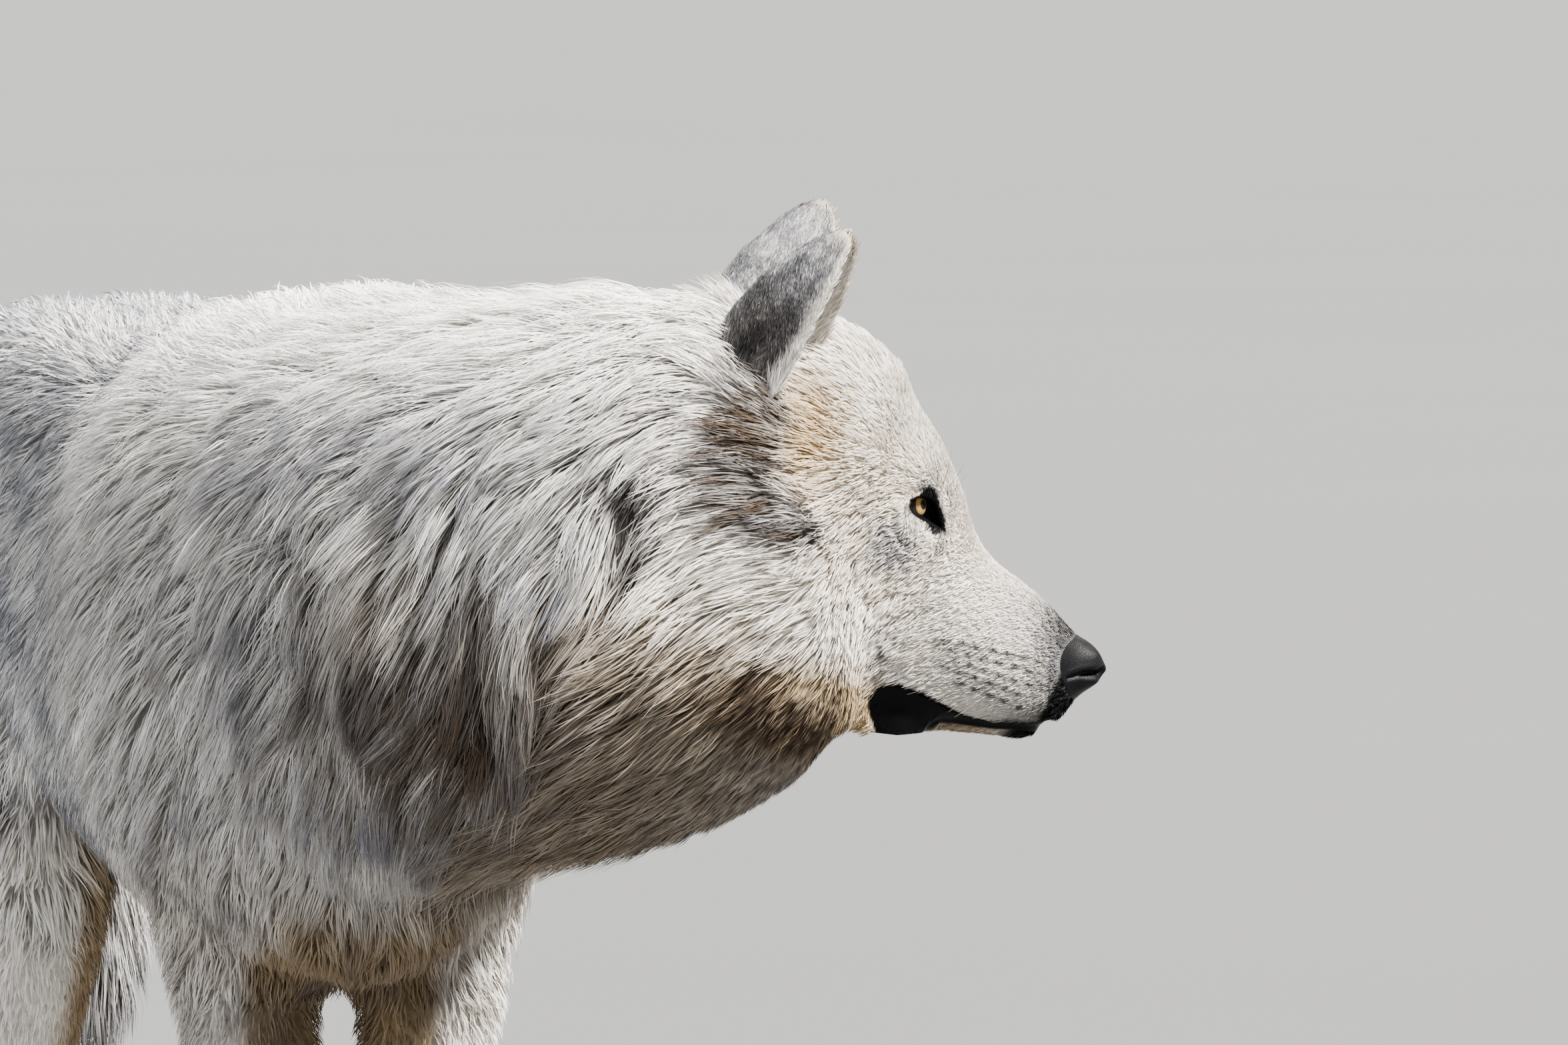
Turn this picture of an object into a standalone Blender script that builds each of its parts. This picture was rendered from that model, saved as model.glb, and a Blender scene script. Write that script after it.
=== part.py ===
"""Arctic wolf, life-size, standing square with its head turned to its left.

The wolf faces -Y, its left side is +X and it stands on z = 0.  Every size runs out to the tips of
the coat.  The flesh is swept from short lists of cross-sections, fused into one body, and parted
by thin cuts into the pieces a person would name.  Lengths are in metres, angles in degrees.
"""

import math
from dataclasses import dataclass

import bmesh
import bpy
import numpy as np
from mathutils import Matrix, Vector

# Driving dimensions
WITHERS_HEIGHT = 0.770
RUMP_HEIGHT = 0.742
FOOT_SPACING_LENGTH = 0.625
FORE_TRACK = 0.047
FORE_SHIFT = 0.006
HIND_TRACK = 0.064
HALF_CHEST = 0.147
TRUNK_AXIS = 0.590
EYE_RADIUS = 0.0115
EAR_LENGTH = 0.106
EAR_HALF_WIDTH = 0.0265
EAR_WALL = 0.0070
FORE_PAW_WIDTH = 0.081
HIND_PAW_WIDTH = 0.074
TOE_HALF_SIZES = (0.0142, 0.0270, 0.0225)
CLAW_LENGTH = 0.022
CLAW_HALF_DEPTH = 0.0042
CLAW_SEAT = 0.021
CUT_GAP = 0.0003

# Heights of the joints that the legs and tail are parted at
ELBOW_HEIGHT = 0.374
WRIST_HEIGHT = 0.165
FORE_ANKLE_HEIGHT = 0.055
GROIN_HEIGHT = 0.462
KNEE_HEIGHT = 0.375
HOCK_HEIGHT = 0.215
HIND_ANKLE_HEIGHT = 0.052
TAIL_JOINT_HEIGHT = 0.460

# Head frame: its origin lies in the skull behind the eyes, and it looks along its forward axis
HEAD_ORIGIN = Vector((0.188, -0.279, 0.665))
HEAD_YAW = -6.5
HEAD_PITCH = 23.0
HEAD_ROLL = 5.0

# Fineness of the solids
BODY_VOXEL = 0.0055
SMOOTH_ROUNDS = 8
RING_SIDES = 28
STEPS_BETWEEN_RINGS = 5
BODY_TRIANGLES = 2320
DETAIL_TRIANGLES = 6320


@dataclass(frozen=True)
class Ring:
    """One cross-section: its centre, half-width, and reach towards and away from the up side."""

    centre: tuple
    half_width: float
    above: float
    below: float


@dataclass(frozen=True)
class Finish:
    """Colour and surface of one kind of material."""

    name: str
    colour: tuple
    roughness: float


COAT = Finish("coat", (0.72, 0.69, 0.64), 0.85)
FACE = Finish("face_coat", (0.80, 0.77, 0.71), 0.80)
EAR_BACK = Finish("ear_coat", (0.42, 0.41, 0.42), 0.85)
NOSE_LEATHER = Finish("nose_leather", (0.012, 0.012, 0.014), 0.35)
IRIS = Finish("eye", (0.55, 0.30, 0.06), 0.10)
HORN = Finish("claw_horn", (0.05, 0.045, 0.04), 0.40)


# ---------------------------------------------------------------- frames and meshes

def head_axes():
    """Return the head's forward, left and up directions."""
    yaw = math.radians(HEAD_YAW)
    pitch = math.radians(HEAD_PITCH)
    level = math.cos(pitch)
    forward = Vector((math.cos(yaw) * level, math.sin(yaw) * level, -math.sin(pitch)))
    level_left = Vector((-math.sin(yaw), math.cos(yaw), 0.0))
    left = Matrix.Rotation(math.radians(HEAD_ROLL), 3, forward) @ level_left
    return forward, left, forward.cross(left)


def head_point(ahead, left, up):
    """Return the world place of a point given along the head's own axes."""
    forward_axis, left_axis, up_axis = head_axes()
    return HEAD_ORIGIN + forward_axis * ahead + left_axis * left + up_axis * up


def head_matrix(ahead=0.0, left=0.0, up=0.0, nose_up=0.0):
    """Return a frame in the head with X forward, Y left and Z up, tilted nose up by an angle."""
    forward_axis, left_axis, up_axis = head_axes()
    turn = Matrix((forward_axis, left_axis, up_axis)).transposed().to_4x4()
    tilt = Matrix.Rotation(-math.radians(nose_up), 4, "Y")
    return Matrix.Translation(head_point(ahead, left, up)) @ turn @ tilt


def make_material(finish):
    """Return the Principled material of a finish, made once."""
    material = bpy.data.materials.get(finish.name)
    if material is None:
        material = bpy.data.materials.new(finish.name)
        material.use_nodes = True
        shader = material.node_tree.nodes["Principled BSDF"]
        shader.inputs["Base Color"].default_value = (*finish.colour, 1.0)
        shader.inputs["Roughness"].default_value = finish.roughness
        shader.inputs["Metallic"].default_value = 0.0
    return material


def new_object(name, mesh, collection):
    """Return a new object holding a mesh in a collection."""
    thing = bpy.data.objects.new(name, mesh)
    collection.objects.link(thing)
    return thing


def mesh_from(shape, name):
    """Return a mesh written from a bmesh, which is freed."""
    bmesh.ops.recalc_face_normals(shape, faces=shape.faces[:])
    mesh = bpy.data.meshes.new(name)
    shape.to_mesh(mesh)
    shape.free()
    return mesh


def catmull_rom(rows, steps):
    """Return rows interpolated with a smooth curve through every given row."""
    rows = np.asarray(rows, dtype=float)
    padded = np.vstack([2 * rows[0] - rows[1], rows, 2 * rows[-1] - rows[-2]])
    out = []
    for index in range(len(rows) - 1):
        before, start, end, after = padded[index:index + 4]
        for step in range(steps):
            t = step / steps
            out.append(0.5 * (2 * start + (end - before) * t
                              + (2 * before - 5 * start + 4 * end - after) * t ** 2
                              + (3 * start - before - 3 * end + after) * t ** 3))
    out.append(rows[-1])
    return np.array(out)


def sweep(shape, rings, up, fullness=2.2):
    """Add to a bmesh a closed body swept through rings; fullness over 2 squares its section."""
    rows = catmull_rom([[*ring.centre, ring.half_width, ring.above, ring.below] for ring in rings],
                       STEPS_BETWEEN_RINGS)
    centres = rows[:, :3]
    tangents = np.gradient(centres, axis=0)
    loops = []
    for centre, tangent, (half_width, above, below) in zip(centres, tangents, rows[:, 3:]):
        along = Vector(tangent).normalized()
        side = Vector(up).cross(along).normalized()
        rise = along.cross(side)
        loop = []
        for corner in range(RING_SIDES):
            angle = 2 * math.pi * corner / RING_SIDES
            across = math.copysign(abs(math.cos(angle)) ** (2 / fullness), math.cos(angle))
            upward = math.copysign(abs(math.sin(angle)) ** (2 / fullness), math.sin(angle))
            reach = above if upward > 0 else below
            loop.append(shape.verts.new(Vector(centre) + side * across * max(half_width, 1e-4)
                                        + rise * upward * max(reach, 1e-4)))
        loops.append(loop)
    for first, second in zip(loops, loops[1:]):
        for corner in range(RING_SIDES):
            after = (corner + 1) % RING_SIDES
            shape.faces.new((first[corner], first[after], second[after], second[corner]))
    shape.faces.new(loops[0])
    shape.faces.new(loops[-1])


def add_ellipsoid(shape, centre, radii, turn=None):
    """Add to a bmesh an ellipsoid with the given half-axes, turned by an optional matrix."""
    place = Matrix.Translation(Vector(centre))
    if turn is not None:
        place = place @ turn
    place = place @ Matrix.Diagonal((*radii, 1.0))
    bmesh.ops.create_uvsphere(shape, u_segments=24, v_segments=14, radius=1.0, matrix=place)


def on_side(rings, side, shift=0.0):
    """Return a left limb's rings on the side given, +1 for the left, moved left by a shift."""
    return [Ring((side * ring.centre[0] + shift, *ring.centre[1:]), ring.half_width, ring.above,
                 ring.below) for ring in rings]


# ---------------------------------------------------------------- the flesh

def trunk_rings():
    """Return the trunk's cross-sections from breast to buttock."""
    mid = FOOT_SPACING_LENGTH
    return [
        Ring((0.0, -0.165, TRUNK_AXIS), 0.050, 0.060, 0.070),
        Ring((0.0, -0.140, TRUNK_AXIS), 0.098, 0.120, 0.140),
        Ring((0.0, -0.080, TRUNK_AXIS), 0.130, 0.168, 0.188),
        Ring((0.0, 0.020, TRUNK_AXIS), HALF_CHEST, WITHERS_HEIGHT - TRUNK_AXIS, 0.206),
        Ring((0.0, 0.100, TRUNK_AXIS), HALF_CHEST - 0.006, 0.176, 0.210),
        Ring((0.0, 0.190, TRUNK_AXIS), HALF_CHEST - 0.014, 0.166, 0.204),
        Ring((0.0, 0.320, 0.594), HALF_CHEST - 0.010, 0.152, 0.184),
        Ring((0.0, 0.450, 0.606), HALF_CHEST - 0.018, 0.138, 0.152),
        Ring((0.0, mid - 0.060, 0.615), HALF_CHEST - 0.018, RUMP_HEIGHT - 0.615, 0.140),
        Ring((0.0, mid + 0.020, 0.615), HALF_CHEST - 0.026, 0.120, 0.125),
        Ring((0.0, mid + 0.062, 0.612), 0.088, 0.098, 0.095),
        Ring((0.0, mid + 0.082, 0.606), 0.040, 0.050, 0.050),
    ]


def neck_rings():
    """Return the maned neck's cross-sections, curving from the withers to behind the ears."""
    return [
        Ring((0.000, 0.060, 0.600), 0.112, 0.168, 0.130),
        Ring((0.002, -0.060, 0.605), 0.130, 0.172, 0.155),
        Ring((0.032, -0.160, 0.612), 0.128, 0.168, 0.156),
        Ring((0.088, -0.238, 0.625), 0.120, 0.160, 0.152),
        Ring((0.150, -0.274, 0.642), 0.110, 0.152, 0.136),
        Ring((0.200, -0.282, 0.655), 0.094, 0.134, 0.108),
    ]


def head_ring(ahead, top, bottom, half_width, widest):
    """Return one section across the head, given by its heights above the head's axis."""
    return Ring(tuple(head_point(ahead, 0.0, widest)), half_width, top - widest, widest - bottom)


def head_rings():
    """Return the sections of skull and muzzle, from nape to nose."""
    return [
        head_ring(-0.080, 0.098, -0.060, 0.064, 0.010),
        head_ring(-0.055, 0.111, -0.095, 0.087, 0.000),
        head_ring(-0.025, 0.109, -0.112, 0.094, -0.008),
        head_ring(0.005, 0.103, -0.116, 0.091, -0.012),
        head_ring(0.030, 0.093, -0.112, 0.080, -0.014),
        head_ring(0.052, 0.075, -0.108, 0.067, -0.014),
        head_ring(0.071, 0.052, -0.104, 0.055, -0.016),
        head_ring(0.087, 0.030, -0.099, 0.046, -0.020),
        head_ring(0.106, 0.020, -0.092, 0.039, -0.026),
        head_ring(0.130, 0.015, -0.079, 0.034, -0.030),
        head_ring(0.152, 0.010, -0.070, 0.031, -0.031),
        head_ring(0.168, 0.005, -0.062, 0.027, -0.030),
        head_ring(0.178, -0.001, -0.052, 0.019, -0.028),
        head_ring(0.184, -0.010, -0.040, 0.008, -0.026),
    ]


def foreleg_rings():
    """Return the left foreleg's sections from shoulder to toes; its up side looks forward."""
    x = FORE_TRACK
    return [
        Ring((0.078, -0.010, 0.600), 0.052, 0.075, 0.060),
        Ring((0.072, 0.020, 0.500), 0.053, 0.068, 0.060),
        Ring((0.060, 0.030, 0.420), 0.046, 0.050, 0.050),
        Ring((0.050, 0.022, 0.350), 0.040, 0.041, 0.042),
        Ring((x, 0.017, 0.270), 0.034, 0.034, 0.036),
        Ring((x, 0.014, 0.200), 0.029, 0.031, 0.032),
        Ring((x, 0.013, 0.165), 0.030, 0.031, 0.031),
        Ring((x + 0.001, 0.012, 0.120), 0.026, 0.027, 0.028),
        Ring((x + 0.002, 0.006, 0.075), 0.028, 0.028, 0.029),
        Ring((x + 0.003, -0.006, 0.040), 0.034, 0.032, 0.032),
        Ring((x + 0.003, -0.010, 0.012), 0.034, 0.034, 0.032),
        Ring((x + 0.003, -0.010, -0.010), 0.026, 0.026, 0.026),
    ]


def hindleg_rings():
    """Return the left hind leg's sections from hip to toes; its up side looks forward."""
    x = HIND_TRACK
    y = FOOT_SPACING_LENGTH
    return [
        Ring((0.066, y - 0.040, 0.630), 0.056, 0.070, 0.075),
        Ring((0.073, y - 0.060, 0.540), 0.058, 0.112, 0.104),
        Ring((0.074, y - 0.070, 0.455), 0.053, 0.098, 0.094),
        Ring((0.071, y - 0.046, 0.375), 0.046, 0.074, 0.066),
        Ring((0.067, y + 0.000, 0.300), 0.036, 0.051, 0.041),
        Ring((x, y + 0.034, 0.240), 0.027, 0.036, 0.028),
        Ring((x, y + 0.045, 0.200), 0.027, 0.034, 0.028),
        Ring((x, y + 0.037, 0.140), 0.024, 0.027, 0.026),
        Ring((x + 0.001, y + 0.022, 0.080), 0.026, 0.028, 0.028),
        Ring((x + 0.002, y + 0.002, 0.042), 0.032, 0.032, 0.032),
        Ring((x + 0.002, y - 0.004, 0.012), 0.032, 0.033, 0.032),
        Ring((x + 0.002, y - 0.004, -0.010), 0.025, 0.026, 0.026),
    ]


def tail_rings():
    """Return the hanging tail's sections from root to tip; its up side looks backwards."""
    root = FOOT_SPACING_LENGTH + 0.050
    return [
        Ring((0.0, root - 0.020, 0.690), 0.030, 0.030, 0.030),
        Ring((0.0, root + 0.042, 0.672), 0.034, 0.034, 0.034),
        Ring((0.0, root + 0.096, 0.610), 0.041, 0.042, 0.038),
        Ring((0.002, root + 0.122, 0.520), 0.049, 0.050, 0.045),
        Ring((0.004, root + 0.130, 0.420), 0.052, 0.052, 0.048),
        Ring((0.006, root + 0.130, 0.340), 0.043, 0.042, 0.040),
        Ring((0.007, root + 0.128, 0.285), 0.025, 0.024, 0.024),
        Ring((0.007, root + 0.127, 0.260), 0.006, 0.006, 0.006),
    ]


def toe_places(paw_x, paw_y, width):
    """Return each toe's centre, from inner to outer, for a paw of the given width."""
    inner = 0.165 * width
    outer = 0.385 * width
    ahead = 0.036
    behind = 0.014
    return [
        (paw_x - outer, paw_y - behind, 0.019),
        (paw_x - inner, paw_y - ahead, 0.020),
        (paw_x + inner, paw_y - ahead, 0.020),
        (paw_x + outer, paw_y - behind, 0.019),
    ]


@dataclass(frozen=True)
class Foot:
    """One paw: the name of its leg, its centre and its width."""

    leg: str
    x: float
    y: float
    width: float


def feet():
    """Return the four paws."""
    fore_x = FORE_TRACK + 0.004
    hind_x = HIND_TRACK + 0.002
    hind_y = FOOT_SPACING_LENGTH - 0.012
    return [
        Foot("foreleg_left", FORE_SHIFT + fore_x, -0.020, FORE_PAW_WIDTH),
        Foot("foreleg_right", FORE_SHIFT - fore_x, -0.020, FORE_PAW_WIDTH),
        Foot("hindleg_left", hind_x, hind_y, HIND_PAW_WIDTH),
        Foot("hindleg_right", -hind_x, hind_y, HIND_PAW_WIDTH),
    ]


def add_paw(shape, foot):
    """Add to a bmesh a paw's toes and heel, which reach a little under the floor to be cut flat."""
    for x, y, z in toe_places(foot.x, foot.y, foot.width):
        add_ellipsoid(shape, (x, y, z), TOE_HALF_SIZES)
    add_ellipsoid(shape, (foot.x, foot.y + 0.012, 0.022), (0.39 * foot.width, 0.036, 0.0240))
    add_ellipsoid(shape, (foot.x, foot.y - 0.012, 0.031), (0.36 * foot.width, 0.036, 0.0240))


def add_muscles(shape):
    """Add to a bmesh the masses that stand out of the swept shapes."""
    back = FOOT_SPACING_LENGTH
    lean_back = Matrix.Rotation(math.radians(18), 4, "X")
    lean_forward = Matrix.Rotation(math.radians(-22), 4, "X")
    for side in (-1, 1):
        add_ellipsoid(shape, (side * 0.090, -0.005, 0.575), (0.054, 0.108, 0.150), lean_back)
        add_ellipsoid(shape, (side * 0.080, back - 0.062, 0.520), (0.058, 0.122, 0.150), lean_forward)
        add_ellipsoid(shape, (side * 0.058, back + 0.006, 0.585), (0.060, 0.070, 0.105))
        add_ellipsoid(shape, (side * 0.077, back - 0.225, 0.688), (0.058, 0.250, 0.060))
    add_ellipsoid(shape, (0.0, -0.075, 0.505), (0.088, 0.078, 0.115))
    add_ellipsoid(shape, (0.0, 0.050, 0.450), (0.080, 0.140, 0.072))
    turn = head_matrix().to_3x3().to_4x4()
    for side in (-1, 1):
        add_ellipsoid(shape, head_point(0.047, side * 0.036, 0.047), (0.021, 0.021, 0.016), turn)
        add_ellipsoid(shape, head_point(-0.004, side * 0.058, -0.046), (0.058, 0.044, 0.060), turn)
        add_ellipsoid(shape, head_point(0.097, side * 0.027, -0.084), (0.024, 0.011, 0.017), turn)
    add_ellipsoid(shape, head_point(0.1830, 0.0, -0.0155), (0.0185, 0.0185, 0.0165), turn)
    add_ellipsoid(shape, head_point(0.1580, 0.0, -0.0590), (0.0200, 0.0170, 0.0110), turn)


def fused_flesh(collection):
    """Return the whole body without ears as one closed, finely meshed object."""
    shape = bmesh.new()
    up = (0.0, 0.0, 1.0)
    forward = (0.0, -1.0, 0.0)
    backward = (0.0, 1.0, 0.0)
    sweep(shape, trunk_rings(), up)
    sweep(shape, neck_rings(), up)
    sweep(shape, head_rings(), up)
    sweep(shape, tail_rings(), backward, fullness=2.0)
    for side in (-1, 1):
        sweep(shape, on_side(foreleg_rings(), side, FORE_SHIFT), forward, fullness=2.1)
        sweep(shape, on_side(hindleg_rings(), side), forward, fullness=2.1)
    add_muscles(shape)
    for foot in feet():
        add_paw(shape, foot)
    flesh = new_object("flesh", mesh_from(shape, "flesh"), collection)
    remesh = flesh.modifiers.new("fuse", "REMESH")
    remesh.mode = "VOXEL"
    remesh.voxel_size = BODY_VOXEL
    smooth = flesh.modifiers.new("soften", "SMOOTH")
    smooth.factor = 0.5
    smooth.iterations = SMOOTH_ROUNDS
    return bake_modifiers(flesh)


def bake_modifiers(thing):
    """Replace an object's mesh with what its modifiers make, and return the object."""
    depsgraph = bpy.context.evaluated_depsgraph_get()
    mesh = bpy.data.meshes.new_from_object(thing.evaluated_get(depsgraph))
    thing.modifiers.clear()
    thing.data = mesh
    return thing


def thinned(flesh, name, triangles, collection):
    """Return a copy of the fused body with about the given number of triangles."""
    copy = new_object(name, flesh.data.copy(), collection)
    count = sum(len(face.vertices) - 2 for face in copy.data.polygons)
    decimate = copy.modifiers.new("thin", "DECIMATE")
    decimate.ratio = triangles / count
    return bake_modifiers(copy)


# ---------------------------------------------------------------- cutting

def make_box(name, frame, low, high, collection):
    """Return a box cutter reaching from low to high along a frame's axes."""
    shape = bmesh.new()
    size = [high[axis] - low[axis] for axis in range(3)]
    middle = [(high[axis] + low[axis]) / 2 for axis in range(3)]
    place = frame @ Matrix.Translation(middle) @ Matrix.Diagonal((*size, 1.0))
    bmesh.ops.create_cube(shape, size=1.0, matrix=place)
    box = new_object(name, mesh_from(shape, name), collection)
    hide_cutter(box)
    return box


def hide_cutter(thing):
    """Keep a cutter out of the model."""
    thing.hide_render = True
    thing.display_type = "WIRE"


def combine(thing, cutter, operation):
    """Cut an object with a cutter, or keep only what lies inside it."""
    boolean = thing.modifiers.new("cut", "BOOLEAN")
    boolean.operation = operation
    boolean.object = cutter
    return bake_modifiers(thing)


def keep_largest(thing):
    """Drop every loose scrap of an object but its largest piece, and return the object."""
    shape = bmesh.new()
    shape.from_mesh(thing.data)
    unseen = set(shape.verts)
    islands = []
    while unseen:
        island = set()
        front = [unseen.pop()]
        while front:
            vertex = front.pop()
            island.add(vertex)
            for edge in vertex.link_edges:
                other = edge.other_vert(vertex)
                if other in unseen:
                    unseen.discard(other)
                    front.append(other)
        islands.append(island)
    islands.sort(key=len)
    scraps = [vertex for island in islands[:-1] for vertex in island]
    bmesh.ops.delete(shape, geom=scraps, context="VERTS")
    shape.to_mesh(thing.data)
    shape.free()
    return thing


def grown(thing, gap, collection):
    """Return a copy of an object grown by a gap, as a cutter that leaves that gap."""
    copy = new_object(thing.name + "_grown", thing.data.copy(), collection)
    for vertex, normal in zip(copy.data.vertices, [tuple(v.normal) for v in thing.data.vertices]):
        vertex.co += Vector(normal) * gap
    hide_cutter(copy)
    return copy


class Knife:
    """Parts named pieces from a body with box-shaped cells, leaving a thin gap."""

    def __init__(self, parts, cutters):
        self.parts = parts
        self.cutters = cutters

    def take(self, body, name, frame, low, high):
        """Move what lies in the cell from the body to a new object, and return that object."""
        piece = new_object(name, body.data.copy(), self.parts)
        cell = make_box(name + "_cell", frame, low, high, self.cutters)
        wide_low = [value - CUT_GAP for value in low]
        wide_high = [value + CUT_GAP for value in high]
        gap_cell = make_box(name + "_gap_cell", frame, wide_low, wide_high, self.cutters)
        combine(piece, cell, "INTERSECT")
        combine(body, gap_cell, "DIFFERENCE")
        return piece

    def take_below(self, body, name, place, x_turn):
        """Move what lies under a plane through a place, turned about X, to a new object."""
        return self.take(body, name, tilted(place, x_turn=x_turn), (-1.0, -1.0, -1.0), (1.0, 1.0, 0.0))


def tilted(place, x_turn=0.0, y_turn=0.0, z_turn=0.0):
    """Return a frame at a place, turned about Z, then Y, then X."""
    return (Matrix.Translation(Vector(place))
            @ Matrix.Rotation(math.radians(z_turn), 4, "Z")
            @ Matrix.Rotation(math.radians(y_turn), 4, "Y")
            @ Matrix.Rotation(math.radians(x_turn), 4, "X"))


# ---------------------------------------------------------------- the pieces

def nape_frame():
    """Return the frame of the cut behind the ears and jaws, looking forward along X."""
    return head_matrix(-0.0470, 0.0, 0.0, nose_up=19.0)


def part_head(knife, detail):
    """Part the head, lower jaw and nose from the detailed body."""
    head = knife.take(detail, "head", nape_frame(), (CUT_GAP / 2, -0.20, -0.25), (0.35, 0.20, 0.25))
    mouth = head_matrix(0.0900, 0.0, -0.0835, nose_up=21.5)
    jaw = knife.take(head, "lower_jaw", mouth, (0.0, -0.06, -0.05), (0.13, 0.06, 0.0))
    muzzle_tip = head_matrix(0.1745, 0.0, 0.0, nose_up=12.0)
    nose = knife.take(head, "nose", muzzle_tip, (0.0, -0.03, -0.0345), (0.06, 0.03, 0.02))
    return head, jaw, nose


def eye_place(side):
    """Return the centre of the eyeball on one side, +1 for the left."""
    return head_point(0.0545, side * 0.0378, 0.0303)


def make_eyes(head, parts, cutters):
    """Return both eyeballs, each in an open socket of the head."""
    eyes = []
    for side, word in ((1, "left"), (-1, "right")):
        shape = bmesh.new()
        bmesh.ops.create_uvsphere(shape, u_segments=14, v_segments=8, radius=EYE_RADIUS,
                                  matrix=Matrix.Translation(eye_place(side)))
        eye = new_object("eye_" + word, mesh_from(shape, "eye_" + word), parts)
        hollow = bmesh.new()
        outward = head_matrix().to_3x3().to_4x4() @ Matrix.Rotation(math.radians(-40 * side), 4, "Z")
        add_ellipsoid(hollow, head_point(0.0680, side * 0.0520, 0.0300), (0.0150, 0.0150, 0.0100),
                      outward)
        pit = new_object("eye_pit_" + word, mesh_from(hollow, "eye_pit"), cutters)
        hide_cutter(pit)
        combine(head, pit, "DIFFERENCE")
        combine(head, grown(eye, CUT_GAP, cutters), "DIFFERENCE")
        eyes.append(eye)
    return eyes


def make_ear(side, word, seat, parts):
    """Return one ear: a cupped leaf that opens forward, cut off by the flesh it sits on."""
    shape = bmesh.new()
    rows = 8
    columns = 6
    frame = (head_matrix(-0.041, side * 0.048, 0.050, nose_up=0.5)
             @ Matrix.Rotation(math.radians(-8 * side), 4, "X")
             @ Matrix.Rotation(math.radians(28 * side), 4, "Z"))
    grid = []
    for row in range(rows + 1):
        height = row / rows
        taper = (1.0 - height ** 3.6) ** 0.62 * (0.92 + 0.35 * height * (1.0 - height))
        radius = EAR_HALF_WIDTH * taper + 0.0015
        spread = math.radians(112 - 42 * height)
        line = []
        for column in range(columns + 1):
            angle = spread * (2 * column / columns - 1)
            cup = Vector((0.010 * height - 0.80 * radius * math.cos(angle), radius * math.sin(angle),
                          EAR_LENGTH * height))
            line.append(shape.verts.new(frame @ cup))
        grid.append(line)
    for low, high in zip(grid, grid[1:]):
        for column in range(columns):
            shape.faces.new((low[column], low[column + 1], high[column + 1], high[column]))
    ear = new_object("ear_" + word, mesh_from(shape, "ear_" + word), parts)
    wall = ear.modifiers.new("wall", "SOLIDIFY")
    wall.thickness = EAR_WALL
    wall.offset = 0.0
    bake_modifiers(ear)
    return keep_largest(combine(ear, seat, "DIFFERENCE"))


def make_claw(name, root, length, thickness, parts):
    """Return one claw: a cone that curves down ahead of its toe."""
    rings = []
    steps = 3
    for step in range(steps + 1):
        along = step / steps
        drop = 0.34 * length * along ** 2
        width = thickness * (1.0 - along) ** 0.7 + 0.0003
        rings.append(((root[0], root[1] - length * along, root[2] - drop), width))
    shape = bmesh.new()
    loops = []
    sides = 6
    for (x, y, z), width in rings:
        loops.append([shape.verts.new((x + 0.75 * width * math.cos(2 * math.pi * turn / sides), y,
                                       z + width * math.sin(2 * math.pi * turn / sides)))
                      for turn in range(sides)])
    for first, second in zip(loops, loops[1:]):
        for turn in range(sides):
            after = (turn + 1) % sides
            shape.faces.new((first[turn], first[after], second[after], second[turn]))
    shape.faces.new(loops[0])
    shape.faces.new(loops[-1])
    return new_object(name, mesh_from(shape, name), parts)


def make_claws(foot, paw, parts, cutters):
    """Return the claws of one paw, each rooted in a close socket of its toe."""
    claws = []
    for number, (x, y, z) in enumerate(toe_places(foot.x, foot.y, foot.width), start=1):
        name = "{}_claw_{}".format(foot.leg, number)
        claw = make_claw(name, (x, y - CLAW_SEAT, z - 0.003), CLAW_LENGTH, CLAW_HALF_DEPTH, parts)
        combine(paw, grown(claw, CUT_GAP, cutters), "DIFFERENCE")
        claws.append(claw)
    return claws


def part_legs(knife, body, detail):
    """Part each leg at its joints; the paw, with its flat sole, comes from the detailed body."""
    back = FOOT_SPACING_LENGTH
    floor = make_box("floor", Matrix.Identity(4), (-1.0, -1.0, 0.0), (1.0, 2.0, 1.0), knife.cutters)
    pieces = []
    paws = {}
    for side, word in ((1, "left"), (-1, "right")):
        inner, outer = sorted((0.0, side * 0.20))
        elbow = tilted((FORE_SHIFT, 0.02, ELBOW_HEIGHT), x_turn=-4)
        forearm = knife.take(body, "foreleg_{}_forearm".format(word), elbow,
                             (inner, -0.15, -0.45), (outer, 0.12, 0.0))
        pastern = knife.take_below(forearm, "foreleg_{}_pastern".format(word),
                                   (0.0, 0.0, WRIST_HEIGHT), 0)
        hip = tilted((0.0, back - 0.06, GROIN_HEIGHT), x_turn=10)
        thigh = knife.take(body, "hindleg_{}_thigh".format(word), hip,
                           (inner, -0.14, -0.55), (outer, 0.20, 0.0))
        shank = knife.take_below(thigh, "hindleg_{}_shank".format(word),
                                 (0.0, back - 0.06, KNEE_HEIGHT), 30)
        hock = knife.take_below(shank, "hindleg_{}_hock".format(word),
                                (0.0, back, HOCK_HEIGHT), 10)
        fore_ankle = tilted((FORE_SHIFT, 0.0, FORE_ANKLE_HEIGHT), x_turn=12)
        hind_ankle = tilted((0.0, back, HIND_ANKLE_HEIGHT), x_turn=14)
        ankles = ((pastern, "foreleg_" + word, fore_ankle), (hock, "hindleg_" + word, hind_ankle))
        for above, leg, ankle in ankles:
            plain_paw = knife.take(above, "plain_paw", ankle, (-1.0, -1.0, -1.0), (1.0, 1.0, 0.0))
            bpy.data.objects.remove(plain_paw, do_unlink=True)
            paw = knife.take(detail, leg + "_paw", ankle, (inner, -0.15, -0.20), (outer, 0.12, 0.0))
            paws[leg] = combine(paw, floor, "INTERSECT")
        pieces += [forearm, pastern, thigh, shank, hock]
    return pieces, paws


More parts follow.
